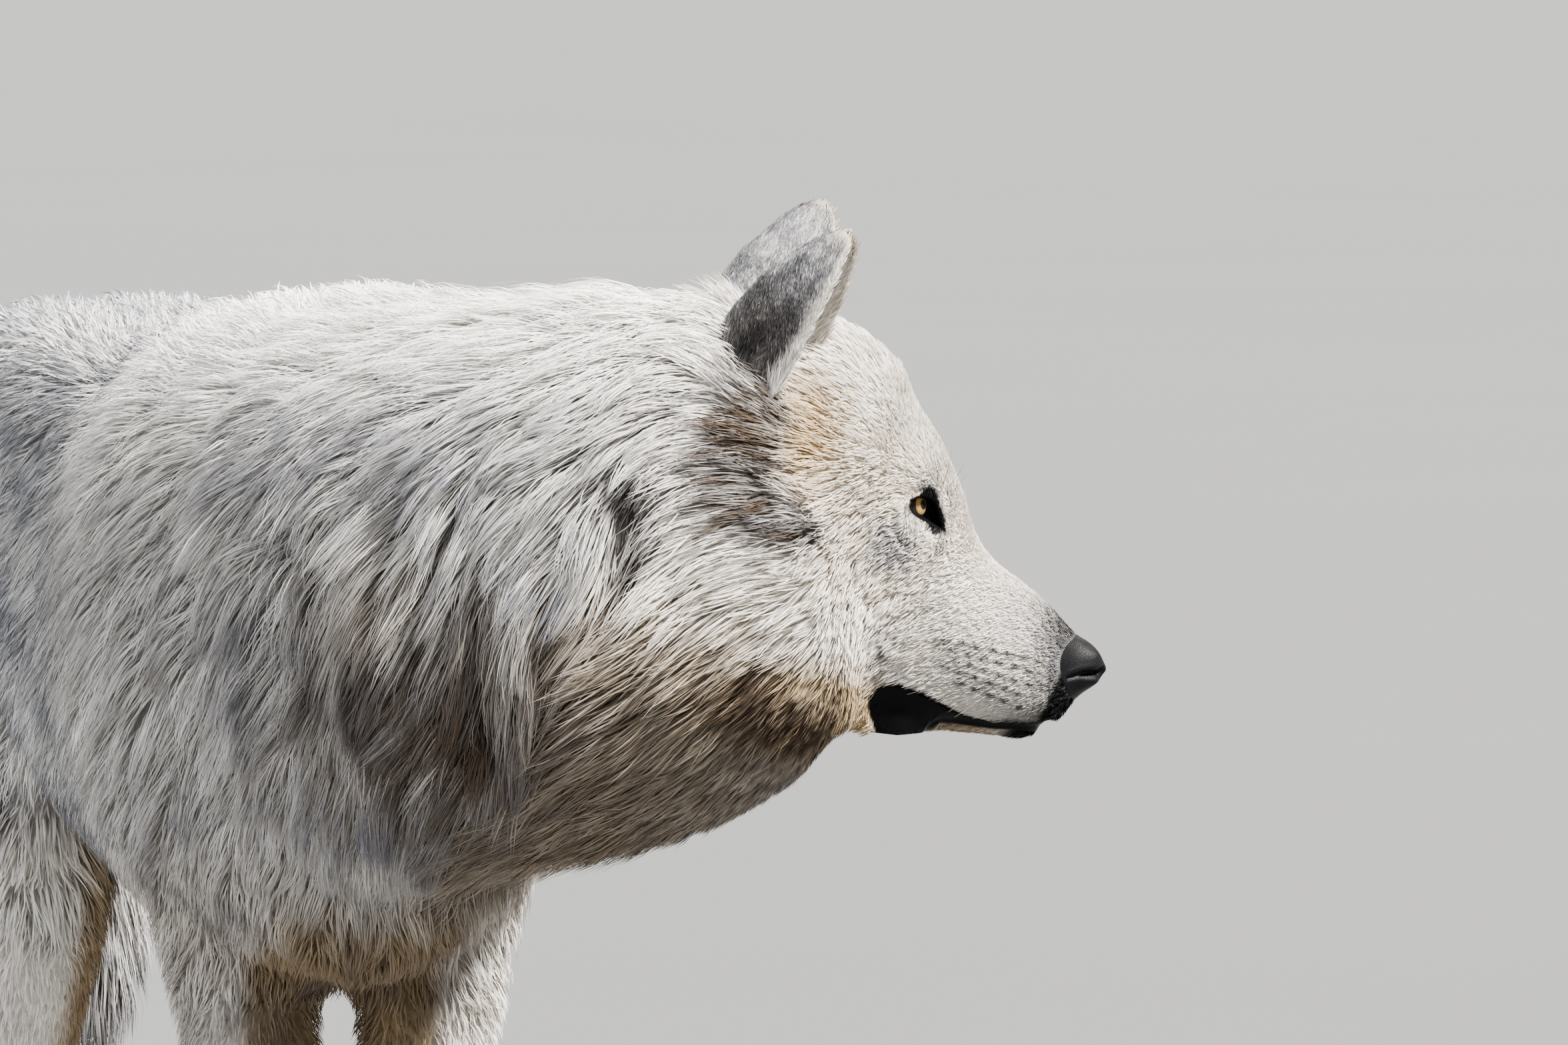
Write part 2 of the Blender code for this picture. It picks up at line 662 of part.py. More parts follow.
def part_tail(knife, body):
    """Part the tail in two lengths."""
    root = tilted((0.0, FOOT_SPACING_LENGTH + 0.086, 0.60))
    base = knife.take(body, "tail_base", root, (-0.10, 0.0, -0.45), (0.10, 0.30, 0.20))
    end = knife.take_below(base, "tail_end", (0.0, 0.0, TAIL_JOINT_HEIGHT), 0)
    return [base, end]


def part_trunk(knife, body):
    """Part the neck and the three lengths of the trunk."""
    collar = tilted((0.030, -0.125, 0.600), x_turn=-4, z_turn=14)
    neck = knife.take(body, "neck", collar, (-0.40, -0.40, -0.40), (0.60, 0.0, 0.40))
    chest = knife.take(body, "chest", Matrix.Identity(4), (-0.4, -0.5, 0.1), (0.6, 0.260, 1.0))
    rump = knife.take(body, "rump", Matrix.Identity(4), (-0.4, 0.470, 0.1), (0.4, 1.2, 1.0))
    body.name = "loin"
    return [neck, chest, rump, body]


def finish(pieces, material_finish):
    """Give pieces a material, plain triangles and smooth shading."""
    for piece in pieces:
        piece.data.materials.clear()
        piece.data.materials.append(make_material(material_finish))
        shape = bmesh.new()
        shape.from_mesh(piece.data)
        bmesh.ops.dissolve_degenerate(shape, dist=1e-5, edges=shape.edges[:])
        bmesh.ops.triangulate(shape, faces=shape.faces[:])
        shape.to_mesh(piece.data)
        shape.free()
        piece.data.shade_smooth()
        piece.data.set_sharp_from_angle(angle=math.radians(50))


def centre_on_origin(pieces):
    """Move the whole wolf so that the middle of its footprint box is at the origin."""
    corners = np.array([tuple(vertex.co) for piece in pieces for vertex in piece.data.vertices])
    middle = (corners.min(axis=0) + corners.max(axis=0)) / 2
    for piece in pieces:
        piece.data.transform(Matrix.Translation((-middle[0], -middle[1], 0.0)))


def remove_scene():
    """Clear the scene of objects."""
    for thing in list(bpy.data.objects):
        bpy.data.objects.remove(thing, do_unlink=True)


def main():
    """Build the wolf."""
    remove_scene()
    parts = bpy.data.collections.new("arctic_wolf")
    cutters = bpy.data.collections.new("cutters")
    for collection in (parts, cutters):
        bpy.context.scene.collection.children.link(collection)
    knife = Knife(parts, cutters)

    flesh = fused_flesh(cutters)
    detail = thinned(flesh, "detail", DETAIL_TRIANGLES, cutters)
    body = thinned(flesh, "body", BODY_TRIANGLES, parts)
    seat = grown(detail, CUT_GAP, cutters)
    ears = [make_ear(side, word, seat, parts) for side, word in ((1, "left"), (-1, "right"))]
    behind_head = make_box("behind_head", nape_frame(), (-2.0, -2.0, -2.0), (-CUT_GAP / 2, 2.0, 2.0),
                           cutters)
    combine(body, behind_head, "INTERSECT")
    head, jaw, nose = part_head(knife, detail)
    eyes = make_eyes(head, parts, cutters)
    tail_pieces = part_tail(knife, body)
    leg_pieces, paws = part_legs(knife, body, detail)
    trunk_pieces = part_trunk(knife, body)
    claws = []
    for foot in feet():
        claws += make_claws(foot, paws[foot.leg], parts, cutters)

    finish([head, jaw], FACE)
    finish([nose], NOSE_LEATHER)
    finish(ears, EAR_BACK)
    finish(eyes, IRIS)
    finish(claws, HORN)
    coat_pieces = leg_pieces + list(paws.values()) + trunk_pieces + tail_pieces
    finish(coat_pieces, COAT)
    centre_on_origin([head, jaw, nose] + ears + eyes + claws + coat_pieces)
    for spare in (flesh, detail):
        bpy.data.objects.remove(spare, do_unlink=True)


main()
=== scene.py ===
"""Looks of a life-size arctic wolf that stands with its head low and turned to its left.

One skin is grown from the fixed frame's flesh, sunk by the depth of the coat and given lids,
nostrils and lips.  Tufts of fur are laid over it along the lie of the coat.  Eyes, nose leather,
whiskers and claws are pieces of their own.  Lengths are in metres and angles in degrees.  Places
on the head are (ahead, left, up) from the skull's middle, and places on the body are measured
from a point on the floor between the forefeet, with the tail along +Y.
"""

import logging
import math
from dataclasses import dataclass, field
from enum import Enum
from typing import Callable, Dict, List, Sequence, Tuple, Union

import bmesh
import bpy
import numpy as np
from mathutils import Matrix, Vector
from mathutils.bvhtree import BVHTree
from mathutils.kdtree import KDTree


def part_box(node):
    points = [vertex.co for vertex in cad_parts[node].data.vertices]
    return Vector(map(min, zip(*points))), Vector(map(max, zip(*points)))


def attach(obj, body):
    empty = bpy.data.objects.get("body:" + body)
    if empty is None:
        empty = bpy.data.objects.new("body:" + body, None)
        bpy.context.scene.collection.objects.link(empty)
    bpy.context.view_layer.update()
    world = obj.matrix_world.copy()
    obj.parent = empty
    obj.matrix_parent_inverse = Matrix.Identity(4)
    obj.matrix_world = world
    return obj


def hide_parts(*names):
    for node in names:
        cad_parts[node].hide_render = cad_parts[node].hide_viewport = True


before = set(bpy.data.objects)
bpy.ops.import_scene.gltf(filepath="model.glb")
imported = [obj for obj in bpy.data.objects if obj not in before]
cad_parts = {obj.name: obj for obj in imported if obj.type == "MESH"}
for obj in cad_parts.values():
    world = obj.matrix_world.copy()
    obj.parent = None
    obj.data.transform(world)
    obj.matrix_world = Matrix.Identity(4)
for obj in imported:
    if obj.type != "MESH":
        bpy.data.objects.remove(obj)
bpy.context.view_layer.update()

Array = np.ndarray
Chance = np.random.Generator
Mesh = bpy.types.Mesh
Material = bpy.types.Material
Socket = bpy.types.NodeSocket
Thing = bpy.types.Object
Values = Dict[str, np.ndarray]
Given = Dict[object, object]
Pair = Tuple[float, float]
Place = Tuple[float, float, float]
Colour = Tuple[float, float, float, float]
Row = Tuple[float, ...]
Line = Tuple[Place, ...]
LOG = logging.getLogger("arctic_wolf")
SEED = 7
UP = (0.0, 0.0, 1.0)
ASKEW = (0.13, 0.21, 1.0)
FAR_OFF = 0.1


# ---------------- arithmetic on points

def unit(vectors: Array) -> Array:
    """Return vectors scaled to length one."""
    return vectors / np.maximum(np.linalg.norm(vectors, axis=-1, keepdims=True), 1e-12)


def norms(vectors: Array) -> Array:
    """Return the length of each of many vectors."""
    return np.linalg.norm(vectors, axis=1)


def dot(first: Array, second: Array) -> Array:
    """Return the product of each pair of vectors."""
    return np.einsum("ij,ij->i", first, second)


def ease(low: Union[float, Array], high: Union[float, Array], value: Array) -> Array:
    """Return 0 at low and 1 at high, eased between; low may be the higher one."""
    share = np.clip((value - low) / (high - low), 0.0, 1.0)
    return share * share * (3.0 - 2.0 * share)


def ridge(away: Array, width: Union[float, Array]) -> Array:
    """Return a smooth rise to 1 where the distance from its middle is 0."""
    return np.exp(-(away / width) ** 2)


def patch(points: Array, centre: Sequence[float], reach: Sequence[float], edge: float = 0.5) -> Array:
    """Return 1 inside an ellipsoid, fading to 0 over a share of its half-sizes at its edge."""
    away = norms((points - np.array(centre)) / np.array(reach))
    return 1.0 - ease(1.0 - edge, 1.0 + edge, away)


def drift(points: Array, size: float, seed: int) -> Array:
    """Make smooth random values over space.

    Args:
        points: Places, one a row.
        size: The usual length of one wave.
        seed: Which pattern to make.

    Returns:
        Values mostly from -1 to 1.
    """
    rng = np.random.default_rng(seed)
    total = np.zeros(len(points))
    for _ in range(6):
        direction = unit(rng.normal(size=3))
        pitch = size * rng.uniform(0.7, 1.5)
        total += np.sin(points @ direction * (2 * math.pi / pitch) + rng.uniform(0, 2 * math.pi))
    return total / 2.4


def path_distance(points: Array, path: Sequence[Sequence[float]]) -> Tuple[Array, Array]:
    """Measure places against a bent line.

    Args:
        points: Places, one a row.
        path: The line's corners in order.

    Returns:
        Each place's distance from the line, and how far along the line it lies, from 0 to 1.
    """
    corners = np.array(path, dtype=float)
    best = np.full(len(points), 1e9)
    along = np.zeros(len(points))
    count = len(corners) - 1
    for index, (start, end) in enumerate(zip(corners[:-1], corners[1:])):
        span = end - start
        share = np.clip((points - start) @ span / (span @ span), 0.0, 1.0)
        away = norms(points - start - share[:, None] * span)
        nearer = away < best
        best = np.where(nearer, away, best)
        along = np.where(nearer, (index + share) / count, along)
    return best, along


# ---------------- places read from the frame

@dataclass(frozen=True)
class Axes:
    """A set of axes: its origin and its forward, left and up directions."""

    origin: Array
    turn: Array

    def local(self, points: Array) -> Array:
        """Return world places along these axes."""
        return (points - self.origin) @ self.turn.T

    def world(self, points: Array) -> Array:
        """Return places along these axes in the world."""
        return np.asarray(points, dtype=float) @ self.turn + self.origin

    def direction(self, vectors: Array) -> Array:
        """Return directions along these axes in the world."""
        return np.asarray(vectors, dtype=float) @ self.turn


@dataclass(frozen=True)
class Measures:
    """How the head is held, and the places that the frame gives."""

    yaw: float = -6.5
    pitch: float = 23.0
    roll: float = 5.0
    eye_ahead: float = 0.0545
    eye_up: float = 0.0303
    chest_length: float = 0.26

    def node_middle(self, name: str) -> Array:
        """Return the middle of a CAD node's box."""
        low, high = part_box(name)
        return (np.array(low) + np.array(high)) / 2

    def head(self) -> Axes:
        """Find the head's own axes.

        Returns:
            Axes with their origin in the skull behind the eyes.
        """
        yaw, pitch = math.radians(self.yaw), math.radians(self.pitch)
        ahead = Vector((math.cos(yaw) * math.cos(pitch), math.sin(yaw) * math.cos(pitch),
                        -math.sin(pitch)))
        level = Vector((-math.sin(yaw), math.cos(yaw), 0.0))
        left = Matrix.Rotation(math.radians(self.roll), 3, ahead) @ level
        turn = np.array((ahead, left, ahead.cross(left)))
        between_eyes = (self.node_middle("eye_left") + self.node_middle("eye_right")) / 2
        origin = between_eyes - turn[0] * self.eye_ahead - turn[2] * self.eye_up
        return Axes(origin, turn)

    def body(self) -> Axes:
        """Return world directions from a point on the floor under the withers."""
        paws = (self.node_middle("hindleg_left_paw") + self.node_middle("hindleg_right_paw")) / 2
        return Axes(np.array((paws[0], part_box("loin")[0].y - self.chest_length, 0.0)), np.eye(3))


MEASURES = Measures()
HEAD = MEASURES.head()
BODY = MEASURES.body()


def nearest(targets: Array, places: Array) -> Array:
    """Return the number of the target nearest to each place."""
    tree = KDTree(len(targets))
    for number, target in enumerate(targets):
        tree.insert(target, number)
    tree.balance()
    return np.array([tree.find(place)[1] for place in places])


def mirrored(local: Array) -> Array:
    """Return head places folded onto its left half, as the two halves match."""
    return local * np.array((1.0, 0.0, 1.0)) + np.abs(local) * np.array((0.0, 1.0, 0.0))


# ---------------- surfaces

@dataclass
class Surface:
    """A triangle mesh held as arrays, with values for each of its points."""

    points: Array
    corners: Array
    values: Values = field(default_factory=dict)

    def normals(self) -> Array:
        """Find each point's outward direction.

        Returns:
            Unit directions weighted by the area of the triangles around each point.
        """
        first, second, third = (self.points[self.corners[:, corner]] for corner in range(3))
        faces = np.cross(second - first, third - first)
        out = np.zeros_like(self.points)
        for axis in range(3):
            for corner in range(3):
                out[:, axis] += np.bincount(self.corners[:, corner], faces[:, axis], len(out))
        return unit(out)

    def areas(self) -> Array:
        """Return the area of each triangle."""
        first, second, third = (self.points[self.corners[:, corner]] for corner in range(3))
        return norms(np.cross(second - first, third - first)) / 2

    def neighbour_mean(self, values: Array) -> Array:
        """Average values over each point's neighbours.

        Args:
            values: One number or one row for each point.

        Returns:
            The averages, in the same shape.
        """
        heads = self.corners.T.ravel()
        tails = np.roll(self.corners, -1, axis=1).T.ravel()
        counts = np.maximum(np.bincount(heads, minlength=len(self.points)), 1)
        columns = values.reshape(len(values), -1)
        out = np.stack([np.bincount(heads, column[tails], len(columns)) / counts
                        for column in columns.T], axis=1)
        return out.reshape(values.shape)

    def spread(self, values: Array, rounds: int) -> Array:
        """Return values blurred over the surface by rounds of averaging."""
        for _ in range(rounds):
            values = 0.5 * values + 0.5 * self.neighbour_mean(values)
        return values

    def relax(self, rounds: int, weight: Array, steps: Row = (0.5, -0.52)) -> None:
        """Smooth the shape, by default without shrinking it.

        Args:
            rounds: How many times to smooth.
            weight: How much each point takes part, from 0 to 1.
            steps: How far each round moves the points to, or away from, their neighbours' mean.
        """
        for _ in range(rounds):
            for step in steps:
                move = self.neighbour_mean(self.points) - self.points
                self.points = self.points + move * (step * weight)[:, None]

    def joined(self, other: "Surface") -> "Surface":
        """Return this surface and another as one, keeping the values that both have."""
        values = {key: np.concatenate([self.values[key], other.values[key]])
                  for key in self.values if key in other.values}
        return Surface(np.concatenate([self.points, other.points]),
                       np.concatenate([self.corners, other.corners + len(self.points)]), values)


def surface_of(mesh: Mesh) -> Surface:
    """Read a mesh into arrays.

    Args:
        mesh: Any mesh.

    Returns:
        Its triangles as a surface.
    """
    mesh.calc_loop_triangles()
    points = np.empty(len(mesh.vertices) * 3)
    mesh.vertices.foreach_get("co", points)
    corners = np.empty(len(mesh.loop_triangles) * 3, dtype=np.int64)
    mesh.loop_triangles.foreach_get("vertices", corners)
    return Surface(points.reshape(-1, 3), corners.reshape(-1, 3))


def build_mesh(name: str, points: Array, faces: Array) -> Mesh:
    """Write faces that all have the same number of corners into a mesh.

    Args:
        name: The mesh's name.
        points: Places, one a row.
        faces: Point numbers, one face a row.

    Returns:
        A smooth-shaded mesh.
    """
    mesh = bpy.data.meshes.new(name)
    size = faces.shape[1]
    mesh.vertices.add(len(points))
    mesh.vertices.foreach_set("co", points.astype(np.float32).ravel())
    mesh.loops.add(faces.size)
    mesh.loops.foreach_set("vertex_index", faces.astype(np.int32).ravel())
    mesh.polygons.add(len(faces))
    mesh.polygons.foreach_set("loop_start", np.arange(0, faces.size, size, dtype=np.int32))
    mesh.update(calc_edges=True)
    mesh.shade_smooth()
    return mesh


def add_values(mesh: Mesh, name: str, *columns: Array) -> None:
    """Store up to four values for each point of a mesh under a name."""
    values = np.zeros((len(mesh.vertices), 4), dtype=np.float32)
    for number, column in enumerate(columns):
        values[:, number] = column
    mesh.attributes.new(name, "FLOAT_COLOR", "POINT").data.foreach_set("color", values.ravel())


def show(name: str, mesh: Mesh, material: Material) -> Thing:
    """Put a mesh in the scene as a piece of the wolf.

    Args:
        name: The piece's name.
        mesh: Its mesh.
        material: Its material.

    Returns:
        The object, which rides on the wolf's one body.
    """
    piece = bpy.data.objects.new(name, mesh)
    mesh.materials.append(material)
    bpy.context.scene.collection.objects.link(piece)
    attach(piece, "root")
    return piece


def ring_faces(rings: int, sides: int) -> Array:
    """Return the four-cornered faces of a tube of rings that have so many sides."""
    ring, column = np.meshgrid(np.arange(rings - 1), np.arange(sides), indexing="ij")
    near, far, after = ring * sides, (ring + 1) * sides, (column + 1) % sides
    return np.stack([near + column, near + after, far + after, far + column], axis=-1).reshape(-1, 4)


def halved(quads: Array) -> Array:
    """Return four-cornered faces cut into triangles."""
    return np.concatenate([quads[:, (0, 1, 2)], quads[:, (0, 2, 3)]])


def fan(start: int, sides: int, middle: int) -> Array:
    """Return triangles from a ring of points, by the number of its first, to a middle point."""
    spokes = np.arange(sides)
    return np.stack([start + spokes, start + (spokes + 1) % sides, np.full_like(spokes, middle)], axis=1)


def round_angles(sides: int) -> Array:
    """Return even angles all the way round a ring."""
    return np.arange(sides) * (2 * math.pi / sides)


def tube(path: Array, widths: Array, sides: int) -> Tuple[Array, Array]:
    """Sweep a ring along a path.

    Args:
        path: The centreline's points.
        widths: The tube's radius at each of them.
        sides: How many sides the ring has.

    Returns:
        The points and four-cornered faces of an open tube.
    """
    ways = unit(np.gradient(path, axis=0))
    across = unit(np.cross(ways, ASKEW))
    rise = np.cross(across, ways)
    angles = round_angles(sides)[None, :, None]
    ring = np.cos(angles) * across[:, None, :] + np.sin(angles) * rise[:, None, :]
    return (path[:, None, :] + ring * widths[:, None, None]).reshape(-1, 3), ring_faces(len(path), sides)


# ---------------- regions of the coat

class Region(Enum):
    """The parts of the body whose coats differ."""

    HEAD = 0
    NECK = 1
    CHEST = 2
    LOIN = 3
    RUMP = 4
    TAIL = 5
    FORELEG = 6
    FOREPAW = 7
    THIGH = 8
    HINDLEG = 9
    HINDPAW = 10
    EAR = 11


@dataclass(frozen=True)
class Pelt:
    """How hair grows on one region: its length, the depth it makes, its width and its lie."""

    length: float
    depth: float
    width: float
    droop: float
    lie: Place


PELTS = {
    Region.HEAD: Pelt(0.02, 0.006, 0.0009, 0.1, (0.0, 0.0, 0.0)),
    Region.NECK: Pelt(0.06, 0.019, 0.00065, 0.4, (0.0, 0.0, -0.15)),
    Region.CHEST: Pelt(0.042, 0.015, 0.0008, 0.3, (0.0, 0.85, -0.25)),
    Region.LOIN: Pelt(0.04, 0.015, 0.001, 0.2, (0.0, 0.95, -0.25)),
    Region.RUMP: Pelt(0.046, 0.015, 0.0011, 0.25, (0.0, 0.8, -0.6)),
    Region.TAIL: Pelt(0.062, 0.015, 0.0009, 0.3, (0.0, 0.15, -1.0)),
    Region.FORELEG: Pelt(0.013, 0.0045, 0.0007, 0.1, (0.0, 0.1, -1.0)),
    Region.FOREPAW: Pelt(0.009, 0.0022, 0.0008, 0.05, (0.0, -0.9, -0.35)),
    Region.THIGH: Pelt(0.034, 0.011, 0.0011, 0.2, (0.0, 0.4, -0.95)),
    Region.HINDLEG: Pelt(0.013, 0.0045, 0.0008, 0.1, (0.0, 0.2, -1.0)),
    Region.HINDPAW: Pelt(0.009, 0.0022, 0.0008, 0.05, (0.0, -0.9, -0.35)),
    Region.EAR: Pelt(0.01, 0.0016, 0.0006, 0.0, (0.0, 0.0, 0.0)),
}

NODE_REGIONS = (
    ("head", Region.HEAD), ("lower_jaw", Region.HEAD), ("nose", Region.HEAD),
    ("neck", Region.NECK), ("chest", Region.CHEST), ("loin", Region.LOIN), ("rump", Region.RUMP),
    ("tail", Region.TAIL), ("forearm", Region.FORELEG), ("pastern", Region.FORELEG),
    ("foreleg_left_paw", Region.FOREPAW), ("foreleg_right_paw", Region.FOREPAW),
    ("thigh", Region.THIGH), ("shank", Region.HINDLEG), ("hock", Region.HINDLEG),
    ("hindleg_left_paw", Region.HINDPAW), ("hindleg_right_paw", Region.HINDPAW),
)


def region_of(node: str) -> Region:
    """Return the region that a flesh node belongs to."""
    return next(region for word, region in NODE_REGIONS if word in node)


def flesh_nodes() -> List[str]:
    """Return the names of the nodes that the skin grows on, without ears."""
    return sorted(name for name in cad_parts
                  if not any(word in name for word in ("eye", "claw", "ear_")))


# ---------------- features of the face

@dataclass(frozen=True)
class EyeSlit:
    """The opening between the lids, as a leaf shape seen from the side of the head."""

    corner: Pair = (0.0546, 0.0364)
    slant: float = -21.3
    length: float = 0.0255
    half_height: float = 0.0052
    arch: float = 0.0018
    radius: float = 0.0115
    middle: Place = (0.066, 0.044, 0.031)
    least_out: float = 0.022

    def gap(self, local: Array) -> Tuple[Array, Array, Array]:
        """Measure places against the opening's edge.

        Args:
            local: Places on the head's left half.

        Returns:
            The distance outside the edge, the place along the slit and the height over it.
        """
        turn = math.radians(self.slant)
        ahead = local[:, 0] - self.corner[0]
        rise = local[:, 2] - self.corner[1]
        along = ahead * math.cos(turn) + rise * math.sin(turn)
        share = np.clip(along / self.length, 0.0, 1.0)
        across = rise * math.cos(turn) - ahead * math.sin(turn) - self.arch * np.sin(math.pi * share)
        half = self.half_height * np.sin(math.pi * share ** 0.62) ** 0.85
        beyond = np.maximum(np.maximum(along - self.length, -along), 0.0)
        gap = np.hypot(beyond, np.abs(across)) - half
        far = ease(0.02, 0.035, norms(local - np.array(self.middle)))
        return gap + far * FAR_OFF, along, across

    def near(self, local: Array, reach: float) -> Array:
        """Return which places on the head's left half lie within reach of the eye."""
        return norms(local - np.array(self.middle)) < reach


@dataclass(frozen=True)
class Mouth:
    """The dark band of the lips: its edges' heights at places along the head."""

    ahead: Row = (0.0795, 0.0815, 0.0867, 0.0939, 0.1022, 0.1133, 0.1226, 0.1337, 0.15, 0.165, 0.18)
    top: Row = (-0.072, -0.0645, -0.0605, -0.0582, -0.0578, -0.0592, -0.0605, -0.062, -0.06, -0.0545,
                -0.048)
    bottom: Row = (-0.073, -0.08, -0.085, -0.095, -0.095, -0.088, -0.073, -0.07, -0.066, -0.061, -0.056)

    def edges(self, local: Array) -> Tuple[Array, Array]:
        """Measure places against the band.

        Args:
            local: Places on the head.

        Returns:
            The height over the band's top edge and the height over its bottom edge; both are far
            off behind the corner of the mouth.
        """
        over_top = local[:, 2] - np.interp(local[:, 0], self.ahead, self.top)
        over_bottom = local[:, 2] - np.interp(local[:, 0], self.ahead, self.bottom)
        behind = ease(self.ahead[0], self.ahead[0] - 0.001, local[:, 0]) * FAR_OFF
        return over_top + behind, over_bottom + behind

    def near(self, local: Array, above: float, below: float, ahead: float) -> Array:
        """Return which places lie in the band or a little above or below it, from a place ahead."""
        over_top, over_bottom = self.edges(local)
        return (over_top < above) & (over_bottom > -below) & (local[:, 0] > ahead)

    def inside(self, local: Array, soft: float = 0.001) -> Array:
        """Return 1 within the band, fading over a soft width at its edges."""
        over_top, over_bottom = self.edges(local)
        return ease(soft, -soft, over_top) * ease(-soft, soft, over_bottom)


@dataclass(frozen=True)
class NosePad:
    """The bare leather of the nose and its nostrils."""

    wing_ahead: float = 0.169
    wing_up: float = -0.013
    curve: float = 42.0
    nostril: Line = ((0.1945, 0.006, -0.015), (0.1905, 0.0115, -0.0165), (0.1835, 0.0165, -0.0195),
                     (0.1775, 0.0185, -0.0235))
    nostril_depth: float = 0.0065
    nostril_width: float = 0.0024

    def inside(self, local: Array, soft: float = 0.0012) -> Array:
        """Return 1 on the leather, fading over a soft width at its edge."""
        edge = self.wing_ahead + self.curve * (local[:, 2] - self.wing_up) ** 2
        return ease(-soft, soft, local[:, 0] - edge) * ease(-0.04, -0.036, local[:, 2])


EYE_SLIT = EyeSlit()
MOUTH = Mouth()
NOSE_PAD = NosePad()


@dataclass(frozen=True)
class Partings:
    """Lines on which the long coat opens onto depths painted dark brown as shade, in body places."""

    lines: Tuple[Line, ...] = (
        ((0.073, -0.348, 0.715), (0.078, -0.359, 0.687), (0.083, -0.366, 0.659),
         (0.079, -0.367, 0.631), (0.072, -0.363, 0.603)),
        ((0.098, -0.364, 0.698), (0.091, -0.368, 0.667), (0.096, -0.372, 0.638)),
        ((-0.098, -0.167, 0.666), (-0.08, -0.206, 0.665), (-0.062, -0.243, 0.653),
         (-0.053, -0.26, 0.633)),
        ((0.13, -0.373, 0.694), (0.13, -0.378, 0.667), (0.122, -0.378, 0.649)),
    )
    half_width: float = 0.0064
    pitch: float = 0.06
    stretch: float = 0.26
    wave_share: float = 0.8
    wave_width: float = 0.1

    def inside(self, points: Array) -> Array:
        """Return 1 in the middle of a parting, fading to 0 on both sides."""
        place = BODY.local(points)
        out = np.zeros(len(points))
        for line in self.lines:
            away, along = path_distance(place, line)
            ends = ease(0.0, 0.2, along) * ease(1.0, 0.8, along)
            out = np.maximum(out, ridge(away, self.half_width) * ends)
        _, along, up = place.T
        wave = drift(place * np.array((1.0, 1.0, self.stretch)), self.pitch, 41)
        zone = ease(0.5, 0.57, up) * ease(0.7, 0.65, up) * ease(-0.08, -0.16, along)
        return np.maximum(out, self.wave_share * ridge(wave, self.wave_width) * zone)

    def off_head(self, points: Array) -> Array:
        """Return the partings without those that would run onto the head."""
        return self.inside(points) * (1.0 - head_share(HEAD.local(points)) ** 4)


PARTINGS = Partings()


# ---------------- the skin

